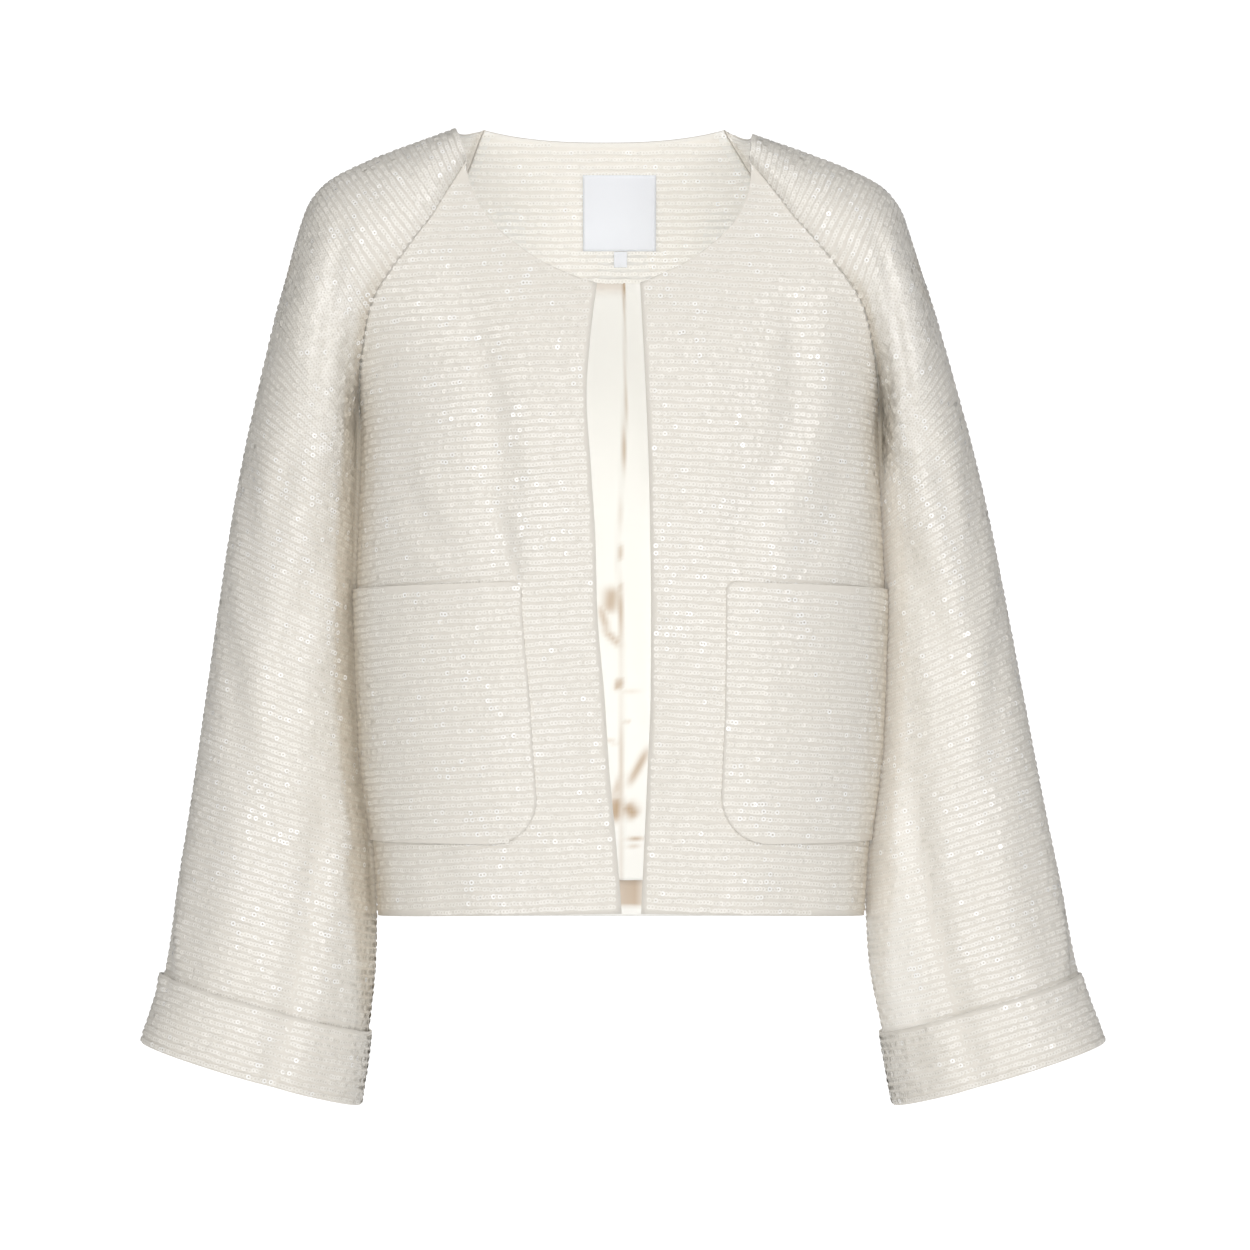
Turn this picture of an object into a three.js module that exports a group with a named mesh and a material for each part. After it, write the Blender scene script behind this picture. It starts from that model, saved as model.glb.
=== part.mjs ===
// Open-front jacket in sequin cloth: raglan sleeves, turned-up cuffs, two patch pockets, a satin back lining.
// It keeps the hollow form of a worn jacket with nobody in it. Every piece is a thin wall of cloth.
// Millimetres, +Z up, the front faces -Y. Left and right are as seen from the front.
// The origin is midway between the high shoulder points, where a wearer's shoulders hold the jacket.
import * as THREE from 'three';

// Cloth
const SHELL = 2.2; // sequin cloth with its backing
const POCKET = 2.0;
const FACING = 1.2;
const LINING = 1.0;
const LABEL = 1.0;
const PULL = 0.17; // each side of a seam draws back by this
const SEAM = 0.3; // the sleeve stands off the body by this at the raglan seam
const LAYER = 0.4; // room between a panel and what lies on it
const LINING_ROOM = 0.9; // the lining hangs free of the back

// Heights on the side seams
const HEM = { side: -548.5, front: -542, back: -555 };
const POCKET_FOOT = -495;
const POCKET_MOUTH = { side: -321.7, front: -316.6 };
const UNDERARM = -215;
const LINING_FOOT = -529;

// Body sections: half width, depth to the front and depth to the back, each a rounded box
const BODY_ROUND = 2.4;
const BODY = [
  { z: 4, half: 194, front: 44, back: 54 },
  { z: -24, half: 208, front: 60, back: 70 },
  { z: -60, half: 226, front: 80, back: 88 },
  { z: -105, half: 214, front: 97, back: 101 },
  { z: -160, half: 188, front: 112, back: 110 },
  { z: -215, half: 181, front: 120, back: 113 },
  { z: -270, half: 183, front: 122, back: 111.5 },
  { z: -322, half: 185, front: 124, back: 110 },
  { z: -425, half: 182, front: 124, back: 108 },
  { z: -500, half: 173.5, front: 121, back: 109 },
  { z: -560, half: 169.5, front: 119, back: 110 },
];

// The front opening, as the x of its two edges
const OPENING = [
  { z: -112, left: -4.5, right: 25 },
  { z: -150, left: -9, right: 27 },
  { z: -190, left: -11.5, right: 29 },
  { z: -240, left: -8.5, right: 31 },
  { z: -292, left: -5.3, right: 32 },
  { z: -334, left: -4.3, right: 32.5 },
  { z: -398, left: 1, right: 32 },
  { z: -438, left: 3.5, right: 30.3 },
  { z: -502, left: 9.3, right: 27.5 },
  { z: -544, left: 12.7, right: 25.6 },
];

// Raglan seams from the neck to the underarm, one row for each ring of the shoulder.
// A turn is the angle round the body, from the centre front or the centre back.
// reach and neckZ are where the front's row starts, on the neckline or, with no reach, on the opening.
const RAGLAN = [
  { frontZ: -24, frontTurn: 23.6, backZ: 5, backTurn: 21.7, topX: 104, topZ: 1, depth: 55, reach: 98.5, neckZ: -29 },
  { frontZ: -45, frontTurn: 26, backZ: -25, backTurn: 24.5, topX: 126, topZ: -6.5, depth: 68, reach: 96, neckZ: -43 },
  { frontZ: -60, frontTurn: 28.2, backZ: -50, backTurn: 27, topX: 146, topZ: -13.5, depth: 76, reach: 84, neckZ: -67.5 },
  { frontZ: -80, frontTurn: 34, backZ: -75, backTurn: 31.2, topX: 172, topZ: -24, depth: 81, reach: 55, neckZ: -93.5 },
  { frontZ: -105, frontTurn: 43.5, backZ: -100.4, backTurn: 39, topX: 194, topZ: -36, depth: 82, reach: 27, neckZ: -107.5 },
  { frontZ: -132, frontTurn: 56, backZ: -130, backTurn: 52, topX: 207, topZ: -52, depth: 80, neckZ: -112 },
  { frontZ: -160, frontTurn: 69, backZ: -160, backTurn: 65.5, topX: 214.5, topZ: -73, depth: 77.5, neckZ: -146 },
  { frontZ: -190, frontTurn: 80, backZ: -189, backTurn: 79, topX: 222.5, topZ: -99, depth: 75, neckZ: -180 },
  { frontZ: UNDERARM, frontTurn: 90, backZ: UNDERARM, backTurn: 90, topX: 232, topZ: -132, depth: 73, neckZ: UNDERARM },
];

const NECK_DIP = 8; // how far the back neckline sinks to its middle
const SHOULDER_DROP = 4.2; // the right shoulder hangs lower by this at the neck
const SHOULDER_FADE = 110; // and no more this far below it

// Sleeve rings below the underarm. inner lies against the body, outer is the silhouette, midY the ring's middle.
// The right sleeve's inner side stands further out by innerRight.
const SLEEVE = [
  { innerX: 181, innerZ: UNDERARM, outerX: 232, outerZ: -132, depth: 73, midY: 0, innerRight: 0 },
  { innerX: 179, innerZ: -250, outerX: 247.5, outerZ: -190, depth: 73, midY: 9, innerRight: 0 },
  { innerX: 178, innerZ: -300, outerX: 262, outerZ: -252, depth: 72, midY: 14, innerRight: 0 },
  { innerX: 178, innerZ: -370, outerX: 275.5, outerZ: -325, depth: 70, midY: 14, innerRight: 0 },
  { innerX: 175, innerZ: -440, outerX: 287, outerZ: -398, depth: 67, midY: 8, innerRight: 0 },
  { innerX: 170, innerZ: -510, outerX: 298.5, outerZ: -470, depth: 64, midY: 0, innerRight: 0 },
  { innerX: 171, innerZ: -575, outerX: 310, outerZ: -535, depth: 62, midY: -7, innerRight: 1.5 },
  { innerX: 176, innerZ: -629, outerX: 319, outerZ: -589, depth: 60, midY: -12, innerRight: 6 },
  { innerX: 183.5, innerZ: -680, outerX: 334, outerZ: -637, depth: 58, midY: -16, innerRight: 8 },
];
const NECK_RINGS = RAGLAN.length - 1;
const LAST_RING = NECK_RINGS + SLEEVE.length - 1;
const RING_STEP = 52; // about the distance between two lower rings
const SLEEVE_END = LAST_RING - 2.8 / RING_STEP;

// The turned-up cuff's section: out is measured from the sleeve's face and up from the fold
const CUFF = [
  { out: -2.0, up: 0, innerOut: -2.0, innerUp: 1.9 },
  { out: 1.5, up: 0, innerOut: 0.7, innerUp: 1.9 },
  { out: 2.7, up: 1.3, innerOut: 0.75, innerUp: 3.2 },
  { out: 2.9, up: 12, innerOut: 0.9, innerUp: 12 },
  { out: 3.2, up: 30, innerOut: 1.2, innerUp: 30 },
  { out: 4.4, up: 52, innerOut: 2.4, innerUp: 52 },
];

// Patch pockets
const POCKET_MARGIN = 51; // from the front edge to the pocket's edge
const POCKET_CORNER = 0.3; // how far the rounded corner cuts into its cell
const MOUTH_STAND = 2.4; // how far the mouth stands away at the side

// Labels inside the back neck: edges in x and z
const NECK_LABEL = { x0: -15.4, x1: 36.9, z0: -76.9, z1: -23.7 };
const SIZE_TAB = { x0: 6.8, x1: 16.2, z0: -88.5, z1: -77.4 };

// Largest folds. On the body x is measured from the centre line. On a sleeve ring and turn are its own measures,
// turn 0 at the outside, -90 at the front. Depth is how far the trough sinks, below zero a ridge.
const BODY_FOLDS = [
  { panel: 'front_left', x0: -120, z0: -170, x1: -88, z1: -300, width: 24, depth: 2.6 },
  { panel: 'front_left', x0: -60, z0: -150, x1: -40, z1: -290, width: 26, depth: -2 },
  { panel: 'front_right', x0: 118, z0: -165, x1: 92, z1: -300, width: 24, depth: 2.6 },
  { panel: 'front_right', x0: 62, z0: -150, x1: 44, z1: -300, width: 26, depth: -2 },
  { panel: 'back', x0: -118, z0: -180, x1: -70, z1: -330, width: 26, depth: 3.2 },
  { panel: 'back', x0: 120, z0: -175, x1: 76, z1: -320, width: 25, depth: 3 },
  { panel: 'back', x0: -30, z0: -330, x1: -38, z1: -520, width: 30, depth: 2.4 },
  { panel: 'back', x0: 46, z0: -350, x1: 52, z1: -540, width: 28, depth: 2.2 },
];
const SLEEVE_FOLDS = [
  { ring0: 4.6, turn0: -74, ring1: 8.6, turn1: -104, width: 17, depth: 4.5 },
  { ring0: 8.8, turn0: -120, ring1: 10.4, turn1: -64, width: 17, depth: 3.6 },
  { ring0: 10.6, turn0: -126, ring1: 12.2, turn1: -78, width: 18, depth: 3.6 },
  { ring0: 11.2, turn0: -20, ring1: 12.4, turn1: -58, width: 18, depth: 2.8 },
  { ring0: 13, turn0: -122, ring1: 16, turn1: -104, width: 13, depth: 4.2 },
  { ring0: 13.4, turn0: -40, ring1: 16, turn1: -34, width: 22, depth: 2.6 },
  { ring0: 4.8, turn0: 78, ring1: 8.4, turn1: 102, width: 18, depth: 4 },
  { ring0: 9.4, turn0: 118, ring1: 11.2, turn1: 58, width: 18, depth: 3.6 },
  { ring0: 11.6, turn0: 120, ring1: 13, turn1: 66, width: 19, depth: 3.2 },
  { ring0: 13.4, turn0: 52, ring1: 16, turn1: 60, width: 22, depth: 3 },
];
const MM_PER_TURN = 1.1; // one degree round a sleeve

// How finely the walls are divided
const EDGE_COLUMNS = 2; // from the front edge to the pocket's edge
const FRONT_COLUMNS = 10;
const BACK_COLUMNS = 20;
const SLEEVE_COLUMNS = 26;
const LOWER_SLEEVE_ROWS = 13;
const HEM_ROWS = 2;
const POCKET_ROWS = 6;
const CHEST_ROWS = 3;
const LABEL_COLUMNS = 4;
const RAGLAN_SHARE = 0.19; // the same column's share of a row above the underarm

const radians = THREE.MathUtils.degToRad;
const degrees = THREE.MathUtils.radToDeg;
const mix = THREE.MathUtils.lerp;
const vector = (x, y, z) => new THREE.Vector3(x, y, z);

// A smooth value between table rows that never swings past them; past the ends it runs on straight.
function smoothValue(places, values, at) {
  const slope = (i) => (values[i + 1] - values[i]) / (places[i + 1] - places[i]);
  const last = places.length - 1;
  const tangent = (i) => {
    if (i === 0) return slope(0);
    if (i === last) return slope(last - 1);
    const [a, b] = [slope(i - 1), slope(i)];
    return a * b <= 0 ? 0 : (2 * a * b) / (a + b);
  };
  const rising = places[last] > places[0];
  const before = (a, b) => (rising ? a < b : a > b);
  if (before(at, places[0])) return values[0] + slope(0) * (at - places[0]);
  if (before(places[last], at)) return values[last] + slope(last - 1) * (at - places[last]);
  let i = 0;
  while (i < last - 1 && before(places[i + 1], at)) i += 1;
  const step = places[i + 1] - places[i];
  const t = (at - places[i]) / step;
  const [t2, t3] = [t * t, t * t * t];
  return (2 * t3 - 3 * t2 + 1) * values[i] + (t3 - 2 * t2 + t) * step * tangent(i)
    + (3 * t2 - 2 * t3) * values[i + 1] + (t3 - t2) * step * tangent(i + 1);
}
const column = (table, key) => table.map((row) => row[key]);
const at = (table, key, z) => smoothValue(column(table, 'z'), column(table, key), z);
const ringValue = (table, key, ring) => smoothValue(table.map((_, i) => i), column(table, key), ring);

// The jacket hangs a little to one side: the body's middle line moves over soon below the neck,
// and the sleeves' outer sides follow slowly.
const bodyMiddle = (z) => 12 * (1 - Math.exp(Math.min(z, 0) / 90));
const outerMiddle = (z) => 0.024 * Math.max(0, -80 - z);

// How deep the folds of a table are at a place, where measure gives a fold's two ends in millimetres
function foldDepth(folds, place, measure) {
  let depth = 0;
  for (const fold of folds) {
    const [from, to] = measure(fold);
    const along = to.clone().sub(from);
    const share = place.clone().sub(from).dot(along) / along.lengthSq();
    const nearest = from.clone().addScaledVector(along, THREE.MathUtils.clamp(share, 0, 1));
    depth += fold.depth * Math.exp(-((place.distanceTo(nearest) / fold.width) ** 2));
  }
  return depth;
}

// A place on the body: side is -1 or 1, turn is from the centre front or back, facing is -1 for the front
function bodyPoint(side, turn, z, facing) {
  const power = 2 / BODY_ROUND;
  const sine = Math.sin(radians(turn));
  const out = Math.sign(sine) * Math.abs(sine) ** power;
  const forward = Math.max(0, Math.cos(radians(turn))) ** power;
  const depth = facing < 0 ? at(BODY, 'front', z) : at(BODY, 'back', z);
  return vector(bodyMiddle(z) + side * at(BODY, 'half', z) * out, facing * depth * forward, z);
}
function turnOf(offset, z) {
  const share = Math.min(1, Math.abs(offset) / at(BODY, 'half', z));
  return Math.sign(offset) * degrees(Math.asin(share ** (BODY_ROUND / 2)));
}

// The rows of the body's panels, from the hem to the neck. The side seam and raglan seam share them.
function bodyRows() {
  const rows = [];
  const stretch = (count, side, front, back) => {
    for (let i = 0; i < count; i += 1) {
      const t = i / count;
      rows.push({ side: mix(side[0], side[1], t), front: mix(front[0], front[1], t), back: mix(back[0], back[1], t) });
    }
  };
  const { side, front } = POCKET_MOUTH;
  stretch(HEM_ROWS, [HEM.side, POCKET_FOOT], [HEM.front, POCKET_FOOT], [HEM.back, POCKET_FOOT]);
  stretch(POCKET_ROWS, [POCKET_FOOT, side], [POCKET_FOOT, front], [POCKET_FOOT, side]);
  stretch(CHEST_ROWS, [side, UNDERARM], [front, UNDERARM], [side, UNDERARM]);
  return rows;
}
const LOWER_ROWS = bodyRows();

function edgeX(side, z) {
  return at(OPENING, side < 0 ? 'left' : 'right', z);
}

// One front, columns from its edge to its side, rows from the hem to the neck
function frontGrid(side) {
  const rows = LOWER_ROWS.map((row) => {
    const start = turnOf(side * (edgeX(side, row.front) - bodyMiddle(row.front)), row.front);
    const pocketX = edgeX(side, row.front) + side * POCKET_MARGIN;
    const pocketTurn = turnOf(side * (pocketX - bodyMiddle(row.front)), row.front);
    return { start, end: 90, share: (pocketTurn - start) / (90 - start), from: row.front, to: row.side };
  });
  for (let ring = NECK_RINGS; ring >= 0; ring -= 1) {
    const row = RAGLAN[ring];
    const offset = row.reach ?? side * (edgeX(side, row.neckZ) - bodyMiddle(row.neckZ));
    const start = turnOf(offset, row.neckZ);
    rows.push({ start, end: row.frontTurn, share: RAGLAN_SHARE, from: row.neckZ, to: row.frontZ });
  }
  return rows.map((row) => {
    const points = [];
    for (let i = 0; i <= FRONT_COLUMNS; i += 1) {
      const near = i <= EDGE_COLUMNS;
      const rest = (i - EDGE_COLUMNS) / (FRONT_COLUMNS - EDGE_COLUMNS);
      const share = near ? row.share * (i / EDGE_COLUMNS) : mix(row.share, 1, rest);
      points.push(bodyPoint(side, mix(row.start, row.end, share), mix(row.from, row.to, share), -1));
    }
    return points;
  });
}

// The back, columns from the right side seam to the left one
function backGrid() {
  const rows = LOWER_ROWS.map((row) => ({ end: 90, middle: row.back, side: row.side }));
  for (let ring = NECK_RINGS; ring >= 0; ring -= 1) {
    const row = RAGLAN[ring];
    const dip = ring === 0 ? NECK_DIP : 0;
    rows.push({ end: row.backTurn, middle: row.backZ - dip, side: row.backZ });
  }
  return rows.map((row) => {
    const points = [];
    for (let i = 0; i <= BACK_COLUMNS; i += 1) {
      const share = 1 - (2 * i) / BACK_COLUMNS;
      const z = mix(row.middle, row.side, share * share);
      points.push(bodyPoint(1, share * row.end, z, 1));
    }
    return points;
  });
}

// A sleeve's ring: its two seam points, its outer point, and the turn at which it meets the seams
function sleeveRing(side, ring) {
  let front;
  let back;
  let outer;
  let depth;
  if (ring <= NECK_RINGS) {
    const value = (key) => ringValue(RAGLAN, key, ring);
    front = bodyPoint(side, value('frontTurn'), value('frontZ'), -1);
    back = bodyPoint(side, value('backTurn'), value('backZ'), 1);
    const drop = side > 0 ? SHOULDER_DROP * Math.max(0, 1 + value('topZ') / SHOULDER_FADE) : 0;
    outer = vector(side * value('topX') + outerMiddle(value('topZ')), 0, value('topZ') - drop);
    depth = value('depth');
  } else {
    const value = (key) => ringValue(SLEEVE, key, ring - NECK_RINGS);
    const z = value('innerZ');
    const further = side > 0 ? value('innerRight') : 0;
    front = vector(bodyMiddle(z) + side * (value('innerX') + further), value('midY'), z);
    back = front.clone();
    outer = vector(side * value('outerX') + outerMiddle(value('outerZ')), 0, value('outerZ'));
    depth = value('depth');
  }
  const halfGap = (back.y - front.y) / 2;
  depth = Math.max(depth, halfGap);
  return { front, back, outer, depth, middle: (front.y + back.y) / 2, end: 180 - degrees(Math.asin(halfGap / depth)) };
}

// Pushes a sleeve's point out of the body and its pocket, as a sleeve lies against them
const BELOW_HEM = 12; // down to here a sleeve keeps clear
const CLEAR = { seam: 0.6, below: 0.6, over: 25 }; // at the underarm, further below it, and how soon
const POCKET_ROOM = POCKET + LAYER + 0.8;
const MOUTH_BAND = 60; // the mouth stands away over this height
const POCKET_BESIDE = 24; // how far to the front the pocket's full room is reached
const POCKET_EASE = { foot: 25, mouth: 5, over: 25 }; // how the room fades past the foot and the mouth
function clearOfBody(point, side) {
  const z = Math.max(point.z, HEM.side);
  const depth = point.y < 0 ? at(BODY, 'front', z) : at(BODY, 'back', z);
  if (Math.abs(point.y) >= depth || point.z > UNDERARM || point.z < HEM.side - BELOW_HEM) return;
  const half = at(BODY, 'half', z) * (1 - (Math.abs(point.y) / depth) ** BODY_ROUND) ** (1 / BODY_ROUND);
  const { smoothstep } = THREE.MathUtils;
  const beside = smoothstep(-point.y, 0, POCKET_BESIDE);
  const mouth = POCKET_MOUTH.side + POCKET_EASE.mouth;
  const nearPocket = smoothstep(point.z, POCKET_FOOT - POCKET_EASE.foot, POCKET_FOOT)
    * (1 - smoothstep(point.z, mouth, mouth + POCKET_EASE.over));
  const below = smoothstep(UNDERARM - point.z, 0, CLEAR.over);
  const stand = MOUTH_STAND * smoothstep(point.z, mouth - MOUTH_BAND, mouth);
  const room = CLEAR.seam + CLEAR.below * below + (POCKET_ROOM + stand) * beside * nearPocket;
  const least = half + room;
  const offset = side * (point.x - bodyMiddle(point.z));
  if (offset < least) point.x = bodyMiddle(point.z) + side * least;
}

function sleevePoint(side, ring, share) {
  const shape = sleeveRing(side, ring);
  const turn = radians(mix(-shape.end, shape.end, share));
  const reach = Math.cos(radians(shape.end));
  const out = (Math.cos(turn) - reach) / (1 - reach);
  const halfGap = (shape.back.y - shape.front.y) / 2;
  const across = halfGap > 0.01 ? THREE.MathUtils.clamp((Math.sin(turn) * shape.depth) / halfGap, -1, 1) : 0;
  const base = shape.front.clone().lerp(shape.back, (across + 1) / 2);
  const place = vector(degrees(turn) * MM_PER_TURN, ring * RING_STEP, 0);
  const sunk = foldDepth(SLEEVE_FOLDS, place, (fold) => [
    vector(fold.turn0 * MM_PER_TURN, fold.ring0 * RING_STEP, 0),
    vector(fold.turn1 * MM_PER_TURN, fold.ring1 * RING_STEP, 0),
  ]);
  const edge = Math.min(1, 4 * Math.min(share, 1 - share) * (ring <= NECK_RINGS ? 1 : 2));
  const outward = shape.outer.clone().sub(base).setY(0).normalize();
  const point = base.clone().lerp(shape.outer, out);
  point.y = shape.middle + Math.sin(turn) * shape.depth;
  point.addScaledVector(outward, -sunk * edge * Math.cos(turn));
  point.y -= sunk * edge * Math.sin(turn);
  if (ring > NECK_RINGS) clearOfBody(point, side);
  return point;
}

function sleeveRow(side, ring) {
  const points = [];
  for (let i = 0; i <= SLEEVE_COLUMNS; i += 1) points.push(sleevePoint(side, ring, i / SLEEVE_COLUMNS));
  return points;
}

// One sleeve, rows from the cuff to the neck, columns from the front seam round the outside to the back seam
function sleeveGrid(side) {
  const rows = [];
  for (let i = 0; i < LOWER_SLEEVE_ROWS; i += 1) {
    rows.push(sleeveRow(side, mix(SLEEVE_END, NECK_RINGS, i / LOWER_SLEEVE_ROWS)));
  }
  for (let ring = NECK_RINGS; ring >= 0; ring -= 1) rows.push(sleeveRow(side, ring));
  return rows;
}

const flipped = (grid) => grid.map((row) => [...row].reverse());
const mapGrid = (grid, change) => grid.map((row, r) => row.map((point, c) => change(point, r, c)));

// Face directions at a grid's points: columns run anticlockwise seen from above and rows run up
function gridNormals(grid) {
  const last = grid.length - 1;
  return mapGrid(grid, (_, r, c) => {
    const row = grid[r];
    const end = row.length - 1;
    const across = row[Math.min(c + 1, end)].clone().sub(row[Math.max(c - 1, 0)]);
    const up = grid[Math.min(r + 1, last)][c].clone().sub(grid[Math.max(r - 1, 0)][c]);
    return across.cross(up).normalize();
  });
}

// Sinks a body panel's points by its folds
function foldPanel(name, grid) {
  const folds = BODY_FOLDS.filter((fold) => fold.panel === name);
  const normals = gridNormals(grid);
  return mapGrid(grid, (point, r, c) => {
    const atSeam = c === 0 || c === grid[r].length - 1;
    if (atSeam || folds.length === 0) return point;
    const place = vector(point.x - bodyMiddle(point.z), point.z, 0);
    const sunk = foldDepth(folds, place, (fold) => [vector(fold.x0, fold.z0, 0), vector(fold.x1, fold.z1, 0)]);
    return point.clone().addScaledVector(normals[r][c], -sunk);
  });
}

// Where two panels meet, both take the average direction, so that their inner faces meet too
function shareNormals(panels) {
  const key = (p) => [p.x, p.y, p.z].map((v) => Math.round(v * 20)).join(' ');
  const sums = new Map();
  for (const panel of panels) {
    mapGrid(panel.grid, (point, r, c) => {
      const sum = sums.get(key(point)) ?? vector(0, 0, 0);
      sums.set(key(point), sum.add(panel.normals[r][c]));
    });
  }
  for (const panel of panels) {
    panel.normals = mapGrid(panel.grid, (point) => sums.get(key(point)).clone().normalize());
  }
}

// Draws a grid's first and last columns back from their seams
function drawBack(grid) {
  return grid.map((row) => {
    const end = row.length - 1;
    const pulled = (i, next) => row[i].clone().add(row[next].clone().sub(row[i]).setLength(PULL));
    return row.map((point, c) => (c === 0 ? pulled(0, 1) : c === end ? pulled(end, end - 1) : point));
  });
}
const moved = (grid, normals, distance) =>
  mapGrid(grid, (point, r, c) => point.clone().addScaledVector(normals[r][c], distance));

// A closed wall between an outer and an inner grid of the same size
function wall(outer, inner) {
  const rows = outer.length;
  const columns = outer[0].length;
  const count = rows * columns;
  const positions = [];
  for (const grid of [outer, inner]) for (const row of grid) for (const p of row) positions.push(p.x, p.y, p.z);
  const faces = [];
  const quad = (a, b, c, d) => faces.push(a, b, c, a, c, d);
  const o = (r, c) => r * columns + c;
  const i = (r, c) => count + o(r, c);
  for (let r = 0; r < rows - 1; r += 1) {
    for (let c = 0; c < columns - 1; c += 1) {
      quad(o(r, c), o(r, c + 1), o(r + 1, c + 1), o(r + 1, c));
      quad(i(r, c), i(r + 1, c), i(r + 1, c + 1), i(r, c + 1));
    }
  }
  for (let c = 0; c < columns - 1; c += 1) {
    quad(o(0, c + 1), o(0, c), i(0, c), i(0, c + 1));
    quad(o(rows - 1, c), o(rows - 1, c + 1), i(rows - 1, c + 1), i(rows - 1, c));
  }
  for (let r = 0; r < rows - 1; r += 1) {
    quad(o(r, 0), o(r + 1, 0), i(r + 1, 0), i(r, 0));
    quad(o(r + 1, columns - 1), o(r, columns - 1), i(r, columns - 1), i(r + 1, columns - 1));
  }
  const geometry = new THREE.BufferGeometry();
  geometry.setAttribute('position', new THREE.Float32BufferAttribute(positions, 3));
  geometry.setIndex(faces);
  geometry.computeVertexNormals();
  return geometry;
}

const MATERIALS = {
  sequin: new THREE.MeshStandardMaterial({ color: 0xe5e1d9, roughness: 0.45, metalness: 0, side: THREE.DoubleSide }),
  satin: new THREE.MeshStandardMaterial({ color: 0xece6da, roughness: 0.28, metalness: 0, side: THREE.DoubleSide }),
  label: new THREE.MeshStandardMaterial({ color: 0xf7f8fa, roughness: 0.6, metalness: 0 }),
};
const jacket = new THREE.Group();
function addPiece(name, geometry, material) {
  const mesh = new THREE.Mesh(geometry, MATERIALS[material]);
  mesh.name = name;
  jacket.add(mesh);
}

// Shell panels
const SIDES = { left: -1, right: 1 };
const oriented = (grid, side) => (side < 0 ? flipped(grid) : grid);
const shell = [{ name: 'back', grid: foldPanel('back', backGrid()) }];
for (const [word, side] of Object.entries(SIDES)) {
  const front = oriented(frontGrid(side), side);
  shell.push({ name: `front_${word}`, grid: foldPanel(`front_${word}`, front) });
  shell.push({ name: `sleeve_${word}`, grid: oriented(sleeveGrid(side), side), side });
}
for (const panel of shell) panel.normals = gridNormals(panel.grid);
shareNormals(shell);

// The sleeve's raglan edges stand off away from the body's middle, so that the two walls never touch.
// Above the armpit they also rise a little, as the shoulder slopes there.
const BODY_DEPTH = 110; // about, to the front or the back
const SLOPE_FOOT = -150;
const SLOPE_RISE = 0.25;
function standOff(grid) {
  const firstRaglan = grid.length - 1 - NECK_RINGS;
  return mapGrid(grid, (point, r, c) => {
    const end = grid[r].length - 1;
    if (r < firstRaglan || (c > 0 && c < end)) return point;
    const middle = vector(bodyMiddle(point.z), 0, point.z);
    const away = point.clone().sub(middle);
    const rise = point.z > SLOPE_FOOT ? SLOPE_RISE : 0;
    away.set(away.x / at(BODY, 'half', point.z), away.y / BODY_DEPTH, rise).normalize();
    return point.clone().addScaledVector(away, SEAM);
  });
}
for (const panel of shell) {
  const open = panel.side ? standOff(panel.grid) : panel.grid;
  const inner = moved(open, panel.normals, -SHELL);
  addPiece(panel.name, wall(drawBack(open), drawBack(inner)), 'sequin');
}
const panelNamed = (name) => shell.find((panel) => panel.name === name);

// Cuffs: the section is carried round the sleeve's end
const NEAR_RING = 0.04; // close enough on both sides to take a ring's directions from
function addCuff(word, side) {
  const place = (out, up) => {
    const ring = LAST_RING - up / RING_STEP;
    const rows = [ring + NEAR_RING, ring, ring - NEAR_RING].map((value) => oriented([sleeveRow(side, value)], side)[0]);
    const normals = gridNormals(rows)[1];
    const ends = normals[0].clone().add(normals[SLEEVE_COLUMNS]).normalize();
    normals[0] = ends;
    normals[SLEEVE_COLUMNS] = ends;
    return rows[1].map((point, c) => point.clone().addScaledVector(normals[c], out));
  };
  const outer = CUFF.map((row) => place(row.out, row.up));
  const inner = CUFF.map((row) => place(row.innerOut, row.innerUp));
  addPiece(`cuff_${word}`, wall(drawBack(outer), drawBack(inner)), 'sequin');
}

// Pockets: the front's own points in that place, moved out, with one corner rounded
function addPocket(word, side) {
  const panel = panelNamed(`front_${word}`);
  const pick = (grid) => {
    const rows = grid.slice(HEM_ROWS, HEM_ROWS + POCKET_ROWS + 1);
    return rows.map((row) => (side < 0 ? row.slice(1, FRONT_COLUMNS - EDGE_COLUMNS + 1)
      : row.slice(EDGE_COLUMNS, FRONT_COLUMNS)));
  };
  const grid = mapGrid(pick(panel.grid), (point) => point.clone());
  const normals = pick(panel.normals);
  const sideColumn = side < 0 ? 0 : grid[0].length - 1;
  const edge = grid[0].length - 1 - sideColumn;
  const inward = edge === 0 ? 1 : -1;
  const corner = grid[0][edge];
  const across = grid[0][edge + inward].clone().sub(corner);
  const up = grid[1][edge].clone().sub(corner);
  corner.addScaledVector(across, POCKET_CORNER).addScaledVector(up, POCKET_CORNER);
  const stand = (r, c) => {
    const nearMouth = THREE.MathUtils.smoothstep(r, POCKET_ROWS - 2, POCKET_ROWS);
    const nearSide = 1 - Math.abs(c - sideColumn) / (grid[0].length - 1);
    return MOUTH_STAND * nearMouth * nearSide ** 1.5;
  };
  const layer = (distance) =>
    mapGrid(grid, (point, r, c) => point.clone().addScaledVector(normals[r][c], distance + stand(r, c)));
  addPiece(`pocket_${word}`, wall(layer(LAYER + POCKET), layer(LAYER)), 'sequin');
}
for (const [word, side] of Object.entries(SIDES)) {
  addCuff(word, side);
  addPocket(word, side);
}

// Inside the back: facing, lining and labels are the back's own points, moved in
const back = panelNamed('back');
const BACK_TOP = back.grid.length - 1;
const FACING_FOOT = BACK_TOP - 4; // the facing ends on the shoulder's fourth ring

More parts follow.
